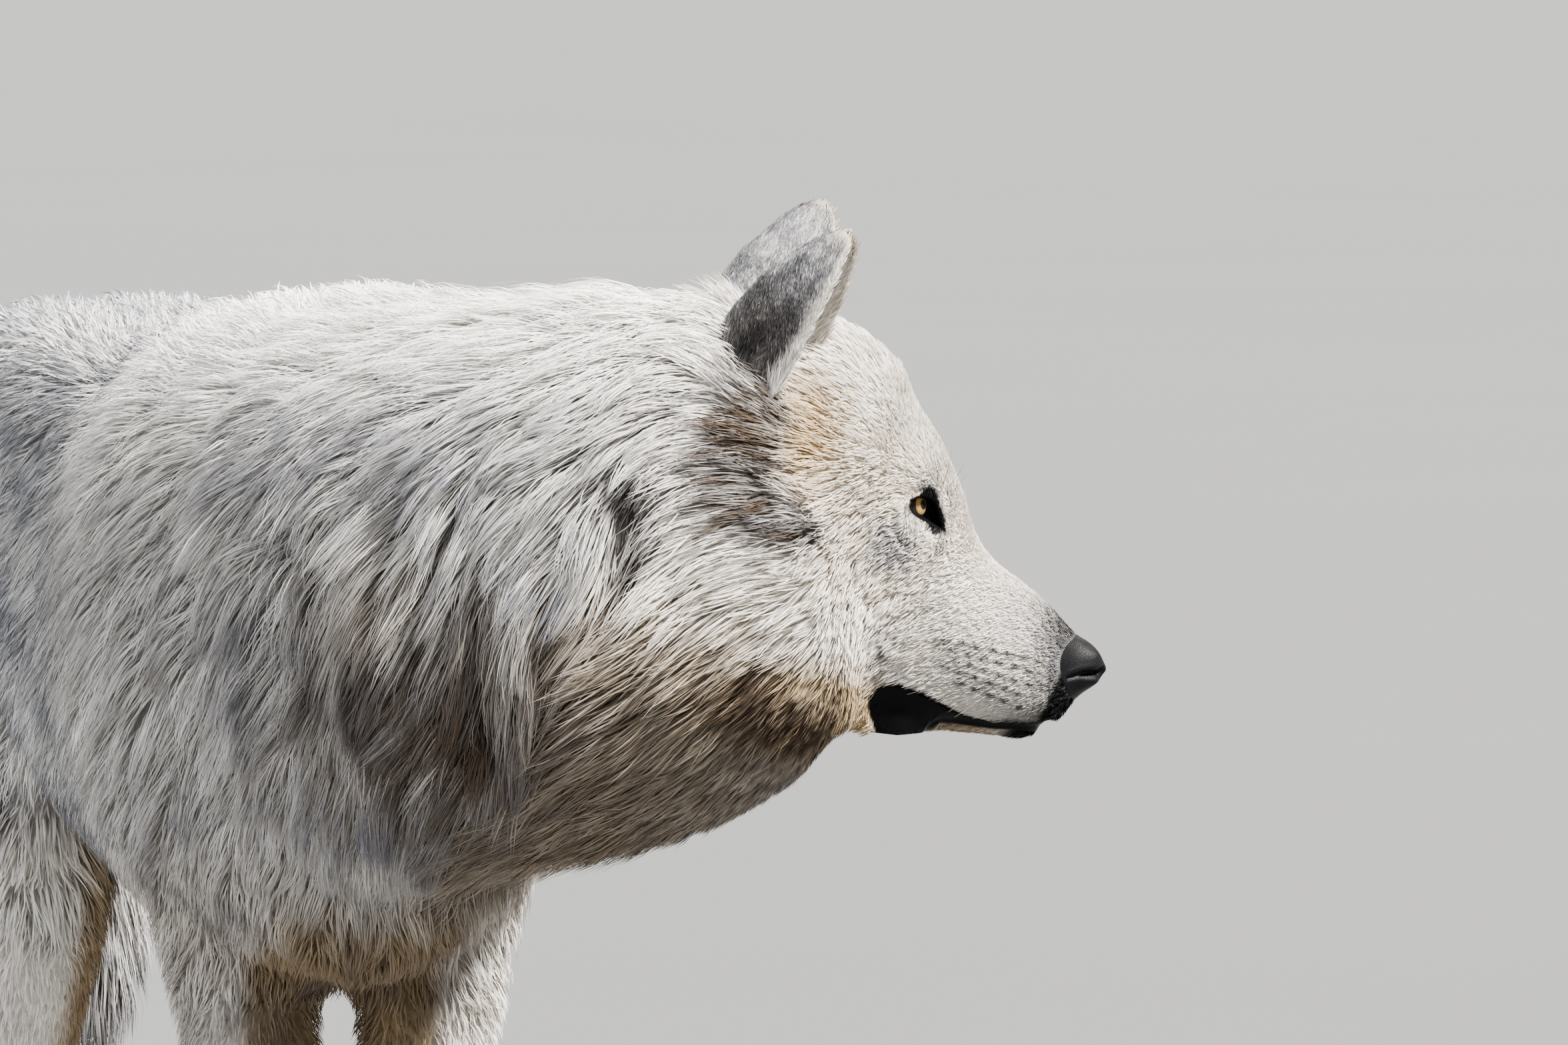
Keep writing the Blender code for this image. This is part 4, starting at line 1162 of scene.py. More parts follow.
@dataclass(frozen=True)
class Markings:
    """The coat's colours with painted light and shade, as shares of grey, buff, brown and black over
    pale hair.
    """

    base_grey: float = 0.1
    base_buff: float = 0.21
    dark_grey: float = 0.62
    dark_brown: float = 0.72
    whisker_rows: int = 5
    whiskers_a_row: int = 7
    front_lip: Tuple[Place, Place] = ((0.166, 0.0, -0.061), (0.015, 0.02, 0.0085))
    dark_corner: Line = ((0.0628, 0.0, 0.0405), (0.0735, 0.0, 0.029))

    def whisker_places(self) -> Array:
        """Return the head places of the whisker spots on the muzzle's left half."""
        places = []
        for row in range(self.whisker_rows):
            for number in range(self.whiskers_a_row - row // 2):
                ahead = 0.158 - 0.0088 * number - 0.003 * (row % 2)
                up = -0.02 - 0.0068 * row - 0.0012 * number * (1.0 - 0.3 * row)
                places.append((ahead, 0.03, up))
        return np.array(places)

    def head(self, local: Array) -> Array:
        """Mark the head.

        Args:
            local: Places on the head's left half.

        Returns:
            Rows of grey, buff, brown and black.
        """
        ahead, _, up = local.T
        fine = drift(local, 0.009, 11)
        wide = drift(local, 0.03, 12)
        laid = {mark: np.zeros(len(local)) for mark in Mark}
        for item in HEAD_MARKS:
            laid[item.mark] += item.over(local, fine)
        dark = laid[Mark.DARK]
        bridge = ease(0.095, 0.16, ahead) * ease(-0.045, -0.005, up) * ease(0.02, 0.0, up)
        throat = ease(-0.044, -0.1, up + 0.08 * (0.03 - ahead)) * ease(0.1, 0.06, ahead)
        grey = self.base_grey + 0.05 * wide + laid[Mark.GREY] + self.dark_grey * dark
        grey = grey + 0.3 * (bridge + throat)
        buff = (self.base_buff + laid[Mark.BUFF]) * (1.0 - 0.5 * np.clip(dark, 0.0, 1.0))
        brown = self.dark_brown * dark + laid[Mark.BROWN] + 0.52 * throat * (1.0 + 0.5 * fine)
        gap = EYE_SLIT.gap(local)[0]
        corner = path_distance(local * np.array((1.0, 0.0, 1.0)), self.dark_corner)[0]
        seam = ease(0.0045, 0.001, np.abs(MOUTH.edges(local)[0])) * ease(0.135, 0.16, ahead)
        black = np.max([
            ease(0.0022, 0.001, gap) * (local[:, 1] > EYE_SLIT.least_out),
            ease(0.0064, 0.0046, corner) * ease(0.03, 0.036, local[:, 1]),
            MOUTH.inside(local),
            NOSE_PAD.inside(local),
            patch(local, *self.front_lip, 0.35),
            ease(0.1665, 0.1735, ahead) * ease(-0.006, -0.018, up),
            0.75 * ease(0.148, 0.176, ahead + 0.002 * fine),
            0.8 * seam,
        ], axis=0)
        return np.stack([grey, buff, brown, black], axis=1)

    def spots(self, local: Array) -> Array:
        """Return 1 on the whisker spots, which are short dark dashes."""
        out = np.zeros(len(local))
        for place in self.whisker_places():
            away = (local - place) / np.array((0.0036, 0.03, 0.0017))
            out = np.maximum(out, np.exp(-dot(away, away)))
        return out

    @staticmethod
    def body(points: Array) -> Array:
        """Mark neck, trunk, legs and tail.

        Args:
            points: World places.

        Returns:
            Rows of grey, buff, brown and black.
        """
        place = BODY.local(points)
        _, along, up = place.T
        wide = drift(place, 0.11, 21)
        fine = drift(place, 0.034, 22)
        front = ease(0.21, 0.1, along)
        level = up + 0.012 * fine + 0.008 * wide
        low = ease(0.642, 0.612, level) * ease(0.38, 0.46, up) * ease(-0.19, -0.285, along)
        top = ease(0.7, 0.765, level)
        legs = ease(0.5, 0.27, up + 0.03 * wide)
        back = 1.0 - front
        tail = ease(0.715, 0.745, along)
        chest = ease(-0.21, -0.13, along)
        # Grey on neck and chest, paling to the neck's top: partly the coat's own colour, partly painted
        # light on the top and painted shade on the sides.
        grey = front * ((0.66 - 0.28 * chest) * (1.0 - top) + 0.04 * top)
        grey = grey + back * (0.7 + 0.14 * ease(0.6, 0.74, up)) * (1.0 - legs)
        grey = grey * (1.0 + 0.3 * wide + 0.25 * fine)
        grey = grey * (1.0 - 0.75 * legs) + 0.05 * legs
        buff = 0.03 + front * (0.4 * low + 0.1 * (1.0 - top)) * (1.0 + 0.4 * fine)
        # Painted shade with a warm bounced glow, in buff and brown, on the legs' inner sides and the
        # belly between them.
        shade_between_legs = ease(0.062, 0.044, np.abs(place[:, 0])) * (1.0 - ease(0.6, 0.66, along))
        shade_between_legs = shade_between_legs * ease(0.46 + 0.05 * back, 0.4 + 0.05 * back, up) * ease(0.05, 0.16, up)
        buff = buff + 0.25 * ease(0.48, 0.42, up) * (1.0 - legs) + 0.08 * legs + 0.8 * shade_between_legs
        # Brown on the lower neck and below the hanging locks: partly the coat's own colour, partly
        # painted shade under the neck and beneath the locks.
        brown = front * (0.46 * low * (1.0 + 0.6 * fine) + 0.09 * (1.0 - top))
        brown = brown + 0.1 * front * ease(0.66, 0.62, level) * (1.0 + 0.8 * fine)
        brown = brown + 0.38 * shade_between_legs * ease(0.1, 0.25, up)
        tip = tail * ease(0.34, 0.29, up)
        grey = grey * (1.0 - tail) + tail * (0.34 + 0.3 * ease(0.74, 0.82, along) + 0.3 * tip)
        brown = np.maximum(brown * (1.0 - tail) + 0.45 * tip, 0.0)
        black = 0.9 * ease(0.0035, 0.0015, up)
        return np.stack([grey, buff, brown, black], axis=1)

    @staticmethod
    def ears(skin: Surface) -> Array:
        """Mark the ears.

        Args:
            skin: The whole skin with its ear values.

        Returns:
            Rows of grey, buff, brown and black.
        """
        height = skin.values["height"]
        rim = skin.values["rim"]
        inner = skin.values["inner"]
        mottle = drift(skin.points, 0.016, 31)
        back = (1.0 - inner) * (1.0 - ease(0.86, 0.97, np.abs(rim)))
        grey = (0.95 + 0.3 * ease(0.2, 0.7, rim) * ease(0.7, 0.3, height) - 0.12 * ease(0.1, -0.5, rim)
                + 0.15 * mottle + 0.16 * drift(skin.points, 0.007, 32))
        grey = back * grey * ease(1.0, 0.9, height) + 0.05 * inner
        grey = grey * (1.0 - 0.6 * ease(0.22, 0.02, height) * ease(0.3, -0.3, rim))
        tip = ease(0.84, 0.97, height)
        buff = 0.12 + 0.3 * tip
        brown = 0.6 * back * ease(-0.1, 0.5, rim) * ease(0.8, 0.4, height)
        brown = brown + 0.25 * tip * (1.0 - inner)
        black = 0.3 * back * ease(-0.2, 0.5, rim) * ease(0.95, 0.45, height) * (1.0 + mottle)
        return np.stack([grey, buff, brown, black], axis=1)

    def over(self, points: Array, parting: Array) -> Array:
        """Mark places on the skin or in the coat, without the ears.

        Args:
            points: World places.
            parting: How deep in a parting of the coat each lies.

        Returns:
            Rows of grey, buff, brown and black.
        """
        local = HEAD.local(points)
        share = head_share(local)[:, None]
        folded = mirrored(local)
        rows = self.body(points) * (1.0 - share) + self.head(folded) * share
        # Painted shade: brown deepens in the partings of the coat.
        rows[:, 2] += 0.9 * parting
        rows[:, 3] = np.maximum(rows[:, 3], 0.95 * self.spots(folded) * share[:, 0])
        return np.clip(rows, 0.0, 1.0)

    def mark(self, skin: Surface) -> None:
        """Give the skin its values marks and bare."""
        local = mirrored(HEAD.local(skin.points))
        share = head_share(HEAD.local(skin.points))[:, None]
        rows = self.over(skin.points, skin.values["parting"])
        on_ear = (skin.values["region"] == Region.EAR.value)[:, None]
        rows = np.where(on_ear, self.ears(skin), rows)
        skin.values["marks"] = np.clip(rows, 0.0, 1.0)
        gap = EYE_SLIT.gap(local)[0]
        bare = ease(0.0012, 0.0002, gap) * (local[:, 1] > EYE_SLIT.least_out)
        bare = np.maximum(bare, MOUTH.inside(local, 0.0006))
        bare = np.maximum(bare, NOSE_PAD.inside(local, 0.0006)) * share[:, 0]
        bare = np.maximum(bare, ease(0.004, 0.002, skin.points[:, 2]))
        bare = np.maximum(bare, 0.75 * skin.values["parting"])
        skin.values["bare"] = np.maximum(bare, skin.values["bare"])


# ---------------- shader graphs

@dataclass(frozen=True)
class Value:
    """A number in a shader graph that ordinary arithmetic works on."""

    graph: "Graph"
    socket: Socket

    def math(self, operation: str, *others: Union["Value", float]) -> "Value":
        """Return a Math node's result for this value and others."""
        inputs = dict(enumerate((self, *others)))
        return self.graph.value("ShaderNodeMath", {"operation": operation}, inputs)

    def __add__(self, other: Union["Value", float]) -> "Value":
        """Return the sum."""
        return self.math("ADD", other)

    __radd__ = __add__

    def __sub__(self, other: Union["Value", float]) -> "Value":
        """Return the difference."""
        return self.math("SUBTRACT", other)

    def __rsub__(self, other: float) -> "Value":
        """Return another number less this value."""
        return self.graph.value("ShaderNodeMath", {"operation": "SUBTRACT"}, {0: other, 1: self})

    def __mul__(self, other: Union["Value", float]) -> "Value":
        """Return the product."""
        return self.math("MULTIPLY", other)

    __rmul__ = __mul__

    def eased(self, low: float, high: float) -> "Value":
        """Return 0 below low and 1 above high, eased between."""
        settings = {"interpolation_type": "SMOOTHSTEP"}
        return self.graph.value("ShaderNodeMapRange", settings, {0: self, 1: low, 2: high})

    def kept(self) -> "Value":
        """Return this value held between 0 and 1."""
        return self.graph.value("ShaderNodeClamp", {}, {0: self})


class Graph:
    """The nodes of one material."""

    def __init__(self, name: str) -> None:
        """Start an empty material with the given name."""
        self.material = bpy.data.materials.new(name)
        self.material.use_nodes = True
        self.tree = self.material.node_tree
        self.tree.nodes.clear()

    def node(self, kind: str, settings: Given, inputs: Given) -> bpy.types.Node:
        """Add a node.

        Args:
            kind: The node's type.
            settings: Its properties, which are set first.
            inputs: Values or links for its sockets, by name or place.

        Returns:
            The new node.
        """
        made = self.tree.nodes.new(kind)
        for key, setting in settings.items():
            setattr(made, key, setting)
        for key, given in inputs.items():
            source = given.socket if isinstance(given, Value) else given
            if isinstance(source, Socket):
                self.tree.links.new(source, made.inputs[key])
            else:
                made.inputs[key].default_value = source
        return made

    def value(self, kind: str, settings: Given, inputs: Given,
              output: Union[int, str] = 0) -> Value:
        """Return one output of a new node as a value."""
        return Value(self, self.node(kind, settings, inputs).outputs[output])

    def blend(self, share: Value, first: object, second: object) -> Socket:
        """Return the colour a share of the way from the first to the second."""
        inputs = {0: share, 6: first, 7: second}
        return self.node("ShaderNodeMix", {"data_type": "RGBA"}, inputs).outputs[2]

    def scaled(self, colour: Socket, amount: Value) -> Socket:
        """Return a colour made brighter or darker by an amount."""
        inputs = {0: colour, 3: amount}
        return self.node("ShaderNodeVectorMath", {"operation": "SCALE"}, inputs).outputs[0]

    def channels(self, name: str) -> List[Value]:
        """Return the four values stored on a mesh under a name."""
        stored = self.node("ShaderNodeAttribute", {"attribute_name": name}, {})
        split = self.node("ShaderNodeSeparateColor", {}, {0: stored.outputs["Color"]})
        return [Value(self, split.outputs[place]) for place in range(3)] + [
            Value(self, stored.outputs["Alpha"])]

    def noise(self, scale: float, detail: float = 2.0, over: str = "") -> Value:
        """Return smooth noise fixed in space, or over the values stored on a mesh under a name."""
        inputs = {"Vector": self.places(over), "Scale": scale, "Detail": detail}
        return self.value("ShaderNodeTexNoise", {}, inputs, "Fac")

    def pebbles(self, scale: float) -> Value:
        """Return the distance from the middles of small cells, for leather grain."""
        inputs = {"Vector": self.places(), "Scale": scale}
        return self.value("ShaderNodeTexVoronoi", {}, inputs, "Distance")

    def places(self, over: str = "") -> Socket:
        """Return places in space, or the values stored on a mesh under a name."""
        if over:
            return self.node("ShaderNodeAttribute", {"attribute_name": over}, {}).outputs["Color"]
        return self.node("ShaderNodeTexCoord", {}, {}).outputs["Object"]

    def bump(self, height: Value, distance: float, strength: float = 1.0) -> Socket:
        """Return the normal of a surface raised by a height."""
        inputs = {"Height": height, "Distance": distance, "Strength": strength}
        return self.node("ShaderNodeBump", {}, inputs).outputs[0]

    def surface(self, inputs: Given) -> Material:
        """Return the material, finished with a Principled shader that has these inputs."""
        shader = self.node("ShaderNodeBsdfPrincipled", {}, inputs)
        self.node("ShaderNodeOutputMaterial", {}, {"Surface": shader.outputs[0]})
        return self.material


@dataclass(frozen=True)
class CoatColours:
    """The colours that the coat's marks stand for."""

    pale: Colour = (0.94, 0.91, 0.86, 1.0)
    grey: Colour = (0.14, 0.142, 0.162, 1.0)
    buff: Colour = (0.54, 0.38, 0.19, 1.0)
    brown: Colour = (0.068, 0.046, 0.03, 1.0)
    black: Colour = (0.0022, 0.0022, 0.0028, 1.0)

    def mixed(self, graph: Graph, marks: List[Value], banding: Value) -> Socket:
        """Mix the coat's colour.

        Args:
            graph: The material to mix it in.
            marks: Shares of grey, buff, brown and black.
            banding: How strongly grey shows here along a hair.

        Returns:
            The colour.
        """
        grey, buff, brown, black = marks
        colour = graph.blend(buff.kept(), self.pale, self.buff)
        colour = graph.blend((grey * banding).kept(), colour, self.grey)
        colour = graph.blend(brown.kept(), colour, self.brown)
        return graph.blend(black.kept(), colour, self.black)


@dataclass(frozen=True)
class Finish:
    """What every finish has: a name and the inputs of one Principled shader."""

    name: str

    def inputs(self, graph: Graph) -> Given:
        """Return values and links for the shader's sockets."""
        raise NotImplementedError

    def material(self) -> Material:
        """Return the material."""
        graph = Graph(self.name)
        return graph.surface(self.inputs(graph))


@dataclass(frozen=True)
class FurFinish(Finish):
    """Hair with painted shade at its roots, banded tips and a little difference from hair to hair."""

    root_light: float = 0.4
    roughness: float = 0.62
    contrast: float = 0.32
    under_shade: float = 0.25

    def inputs(self, graph: Graph) -> Given:
        """Return the shader's inputs, which read the values marks and strand."""
        marks = graph.channels("marks")
        along, chance, lock, under = graph.channels("strand")
        band = 0.55 + 0.75 * along.eased(0.45, 0.85) + 0.5 * (chance - 0.5) + 0.9 * (lock - 0.5)
        colour = CoatColours().mixed(graph, marks, band)
        # Painted shade: each hair darkens towards its root, and undercoat tufts darken more, where the
        # coat shades itself; the chance and lock factors are tone that differs at random.
        light = self.root_light + (1.0 - self.root_light) * along.eased(0.0, 0.55)
        light = light * (0.9 + 0.2 * chance) * (1.0 + self.contrast * (lock - 0.5))
        light = light * (1.0 - self.under_shade * under)
        colour = graph.scaled(colour, light)
        return {"Base Color": colour, "Roughness": self.roughness, "Specular IOR Level": 0.14}


@dataclass(frozen=True)
class SkinFinish(Finish):
    """Skin under the coat: dull and shaded where hair grows, dark and damp where it is bare."""

    name: str = "skin"

    def inputs(self, graph: Graph) -> Given:
        """Return the shader's inputs, which read the values marks and shade."""
        marks = graph.channels("marks")
        black = marks[3].kept()
        shade = graph.channels("shade")[0]
        grain = graph.noise(900.0, 3.0)
        colour = CoatColours().mixed(graph, marks, 0.8 + 0.4 * grain)
        light = black + (1.0 - black) * shade * (0.8 + 0.4 * graph.noise(160.0))
        colour = graph.scaled(colour, light)
        rough = 0.85 - 0.5 * black + 0.1 * grain
        height = grain * 0.6 + graph.pebbles(700.0) * 0.5
        return {"Base Color": colour, "Roughness": rough.kept(), "Specular IOR Level": 0.06,
                "Normal": graph.bump(height, 0.0006, 0.5)}


@dataclass(frozen=True)
class LeatherFinish(Finish):
    """Damp black nose leather with a pebbled grain."""

    name: str = "nose_leather"
    leather: Colour = (0.003, 0.003, 0.0038, 1.0)
    brownish: Colour = (0.02, 0.015, 0.012, 1.0)

    def inputs(self, graph: Graph) -> Given:
        """Return the shader's inputs, which read the value marks."""
        marks = graph.channels("marks")
        grain = graph.pebbles(1300.0)
        colour = graph.blend((marks[2] * 0.4).kept(), self.leather, self.brownish)
        colour = graph.scaled(colour, 0.7 + 0.9 * grain)
        rough = 0.38 + 0.18 * graph.noise(300.0)
        return {"Base Color": colour, "Roughness": rough, "Specular IOR Level": 0.1,
                "Normal": graph.bump(grain, 0.0002, 0.6)}


@dataclass(frozen=True)
class EyeFinish(Finish):
    """An amber iris round a dark pupil, under a wet clear surface."""

    name: str = "eye"
    pupil: float = 0.42
    amber: Colour = (0.36, 0.19, 0.035, 1.0)
    pale_amber: Colour = (0.52, 0.33, 0.09, 1.0)
    rim: Colour = (0.02, 0.012, 0.008, 1.0)
    black: Colour = (0.002, 0.002, 0.002, 1.0)

    def inputs(self, graph: Graph) -> Given:
        """Return the shader's inputs, which read the values ring and rays."""
        ring = graph.channels("ring")[0]
        fibres = graph.noise(11.0, 3.0, "rays").eased(0.35, 0.65)
        colour = graph.blend(fibres, self.amber, self.pale_amber)
        colour = graph.blend(ring.eased(self.pupil + 0.18, self.pupil + 0.02) * 0.55, colour, self.rim)
        colour = graph.blend(ring.eased(self.pupil + 0.03, self.pupil - 0.03), colour, self.black)
        colour = graph.blend(ring.eased(0.84, 1.0), colour, self.rim)
        return {"Base Color": colour, "Roughness": 0.45, "Coat Weight": 0.28, "Coat Roughness": 0.03,
                "Coat IOR": 1.36, "Specular IOR Level": 0.2}


@dataclass(frozen=True)
class HornFinish(Finish):
    """Dark claw horn, paler towards its worn tip."""

    name: str = "claw_horn"
    horn: Colour = (0.03, 0.025, 0.021, 1.0)
    worn: Colour = (0.17, 0.14, 0.11, 1.0)

    def inputs(self, graph: Graph) -> Given:
        """Return the shader's inputs, which read the value ring."""
        along = graph.channels("ring")[0]
        streaks = graph.noise(500.0, 3.0)
        share = (along.eased(0.6, 1.0) * 0.6 + streaks * 0.3).kept()
        colour = graph.blend(share, self.horn, self.worn)
        return {"Base Color": colour, "Roughness": 0.34 + 0.25 * streaks,
                "Normal": graph.bump(streaks, 0.0003, 0.5)}


@dataclass(frozen=True)
class WhiskerFinish(Finish):
    """Stiff dark whiskers."""

    name: str = "whisker"
    root: Colour = (0.015, 0.013, 0.012, 1.0)
    tip: Colour = (0.16, 0.14, 0.12, 1.0)

    def inputs(self, graph: Graph) -> Given:
        """Return the shader's inputs, which read the value ring."""
        along = graph.channels("ring")[0]
        colour = graph.blend(along.eased(0.2, 1.0), self.root, self.tip)
        return {"Base Color": colour, "Roughness": 0.45}


# ---------------- the coat

EVERYWHERE = (-9.0, 9.0)


@dataclass(frozen=True)
class Cut:
    """How tufts are cut: their steps, how many make a lock and how far its tips are drawn in."""

    segments: int
    lock_size: int
    pull: Pair


@dataclass(frozen=True)
class CoatPiece:
    """One piece of the coat: where it grows and how finely it is cut."""

    name: str
    regions: Tuple[Region, ...]
    side: int
    triangles: int
    cut: Cut
    axis: Place
    head_span: Pair = EVERYWHERE
    mingling: float = 0.012
    slices: int = 16

    def holds(self, skin: Surface, middles: Array) -> Array:
        """Find the triangles that this piece grows on.

        Args:
            skin: The whole skin.
            middles: The middles of its triangles.

        Returns:
            True for each triangle of this piece.
        """
        region = skin.values["region"][skin.corners[:, 0]]
        held = np.isin(region, [kind.value for kind in self.regions])
        if self.side:
            held &= np.sign(self.side_of(skin, middles)) == self.side
        ahead = HEAD.local(middles)[:, 0]
        ahead += np.random.default_rng(SEED).uniform(-self.mingling, self.mingling, len(ahead))
        return held & (ahead >= self.head_span[0]) & (ahead < self.head_span[1])

    def side_of(self, skin: Surface, middles: Array) -> Array:
        """Return how far left of the body's or head's middle each triangle lies."""
        if Region.EAR in self.regions:
            return skin.values["ear_side"][skin.corners[:, 0]]
        if Region.HEAD in self.regions:
            return HEAD.local(middles)[:, 1]
        place = BODY.local(middles)
        if Region.NECK in self.regions:
            plan = CoatPlan()
            line = np.array(plan.neck_line)
            centre = np.stack([np.interp(place[:, 1], line[:, 1], line[:, axis]) for axis in range(3)],
                              axis=1)
            left = np.cross(plan.neck_way(middles), UP)
            return dot(place - centre, left)
        return place[:, 0] - 0.004

    def unwrap(self, places: Array) -> Array:
        """Unroll the skin round this piece's bent middle line.

        Args:
            places: The roots of its tufts.

        Returns:
            A map place for each root, within 0 to 1.
        """
        axis = unit(np.array(self.axis))
        across = unit(np.cross(axis, (0.31, 0.52, 0.23)))
        along = places @ axis
        share = (along - along.min()) / max(float(np.ptp(along)), 1e-6)
        bins = np.minimum((share * self.slices).astype(int), self.slices - 1)
        counts = np.bincount(bins, minlength=self.slices)
        used = counts > 0
        centres = ((np.arange(self.slices) + 0.5) / self.slices)[used]
        x, y = (places @ way - np.interp(share, centres, (np.bincount(bins, places @ way, self.slices)
                                                          / np.maximum(counts, 1))[used])
                for way in (across, np.cross(axis, across)))
        turn = np.arctan2(y, x) / (2 * math.pi) + 0.5
        return np.stack([0.01 + 0.98 * turn, 0.01 + 0.98 * share], axis=1)


ALONG_THE_HEAD = (1.0, 0.0, -0.4)
ALONG_THE_BACK = (0.0, 1.0, 0.0)
DOWN_THE_LEG = (0.0, 0.12, -1.0)
HALVES = (("right", -1), ("left", 1))
SHORT = Cut(2, 4, (0.1, 0.4))
CHEEK = Cut(3, 8, (0.2, 0.6))
RUFF = Cut(4, 10, (0.45, 0.95))
FLANK = Cut(3, 10, (0.25, 0.75))
BACK = Cut(3, 10, (0.2, 0.65))
BRUSH = Cut(3, 12, (0.25, 0.7))


def halves(name: str, regions: Tuple[Region, ...], triangles: Tuple[int, int], cut: Cut, axis: Place,
           head_span: Pair = EVERYWHERE) -> List[CoatPiece]:
    """Return a right and a left piece of the coat, with their numbers of triangles."""
    return [CoatPiece(f"{name}_{word}", regions, side, number, cut, axis, head_span)
            for (word, side), number in zip(HALVES, triangles)]


COAT_PIECES = (
    CoatPiece("coat_muzzle", (Region.HEAD,), 0, 120000, SHORT, ALONG_THE_HEAD, (0.083, 9.0)),
    *halves("coat_face", (Region.HEAD,), (198000, 170000), CHEEK, ALONG_THE_HEAD, (-9.0, 0.083)),
    *halves("coat_ear", (Region.EAR,), (54000, 54000), SHORT, (0.1, 0.0, 1.0)),
    *halves("coat_neck", (Region.NECK,), (198000, 46000), RUFF, (0.6, -0.8, 0.1)),
    *halves("coat_chest", (Region.CHEST,), (135000, 100000), FLANK, ALONG_THE_BACK),
    CoatPiece("coat_loin", (Region.LOIN,), 0, 90000, BACK, ALONG_THE_BACK),
    CoatPiece("coat_rump", (Region.RUMP, Region.THIGH), 0, 115000, BACK, (0.0, 0.5, -1.0)),
    CoatPiece("coat_tail", (Region.TAIL,), 0, 45000, BRUSH, (0.0, 0.15, -1.0)),
    *halves("coat_foreleg", (Region.FORELEG, Region.FOREPAW), (46000, 42000), SHORT, DOWN_THE_LEG),
    *halves("coat_hindleg", (Region.HINDLEG, Region.HINDPAW), (40000, 40000), SHORT, DOWN_THE_LEG),
)

WIDTH_PROFILES = {
    2: (0.8, 1.0),
    3: (0.7, 1.0, 0.75),
    4: (0.65, 1.0, 0.9, 0.6),
}


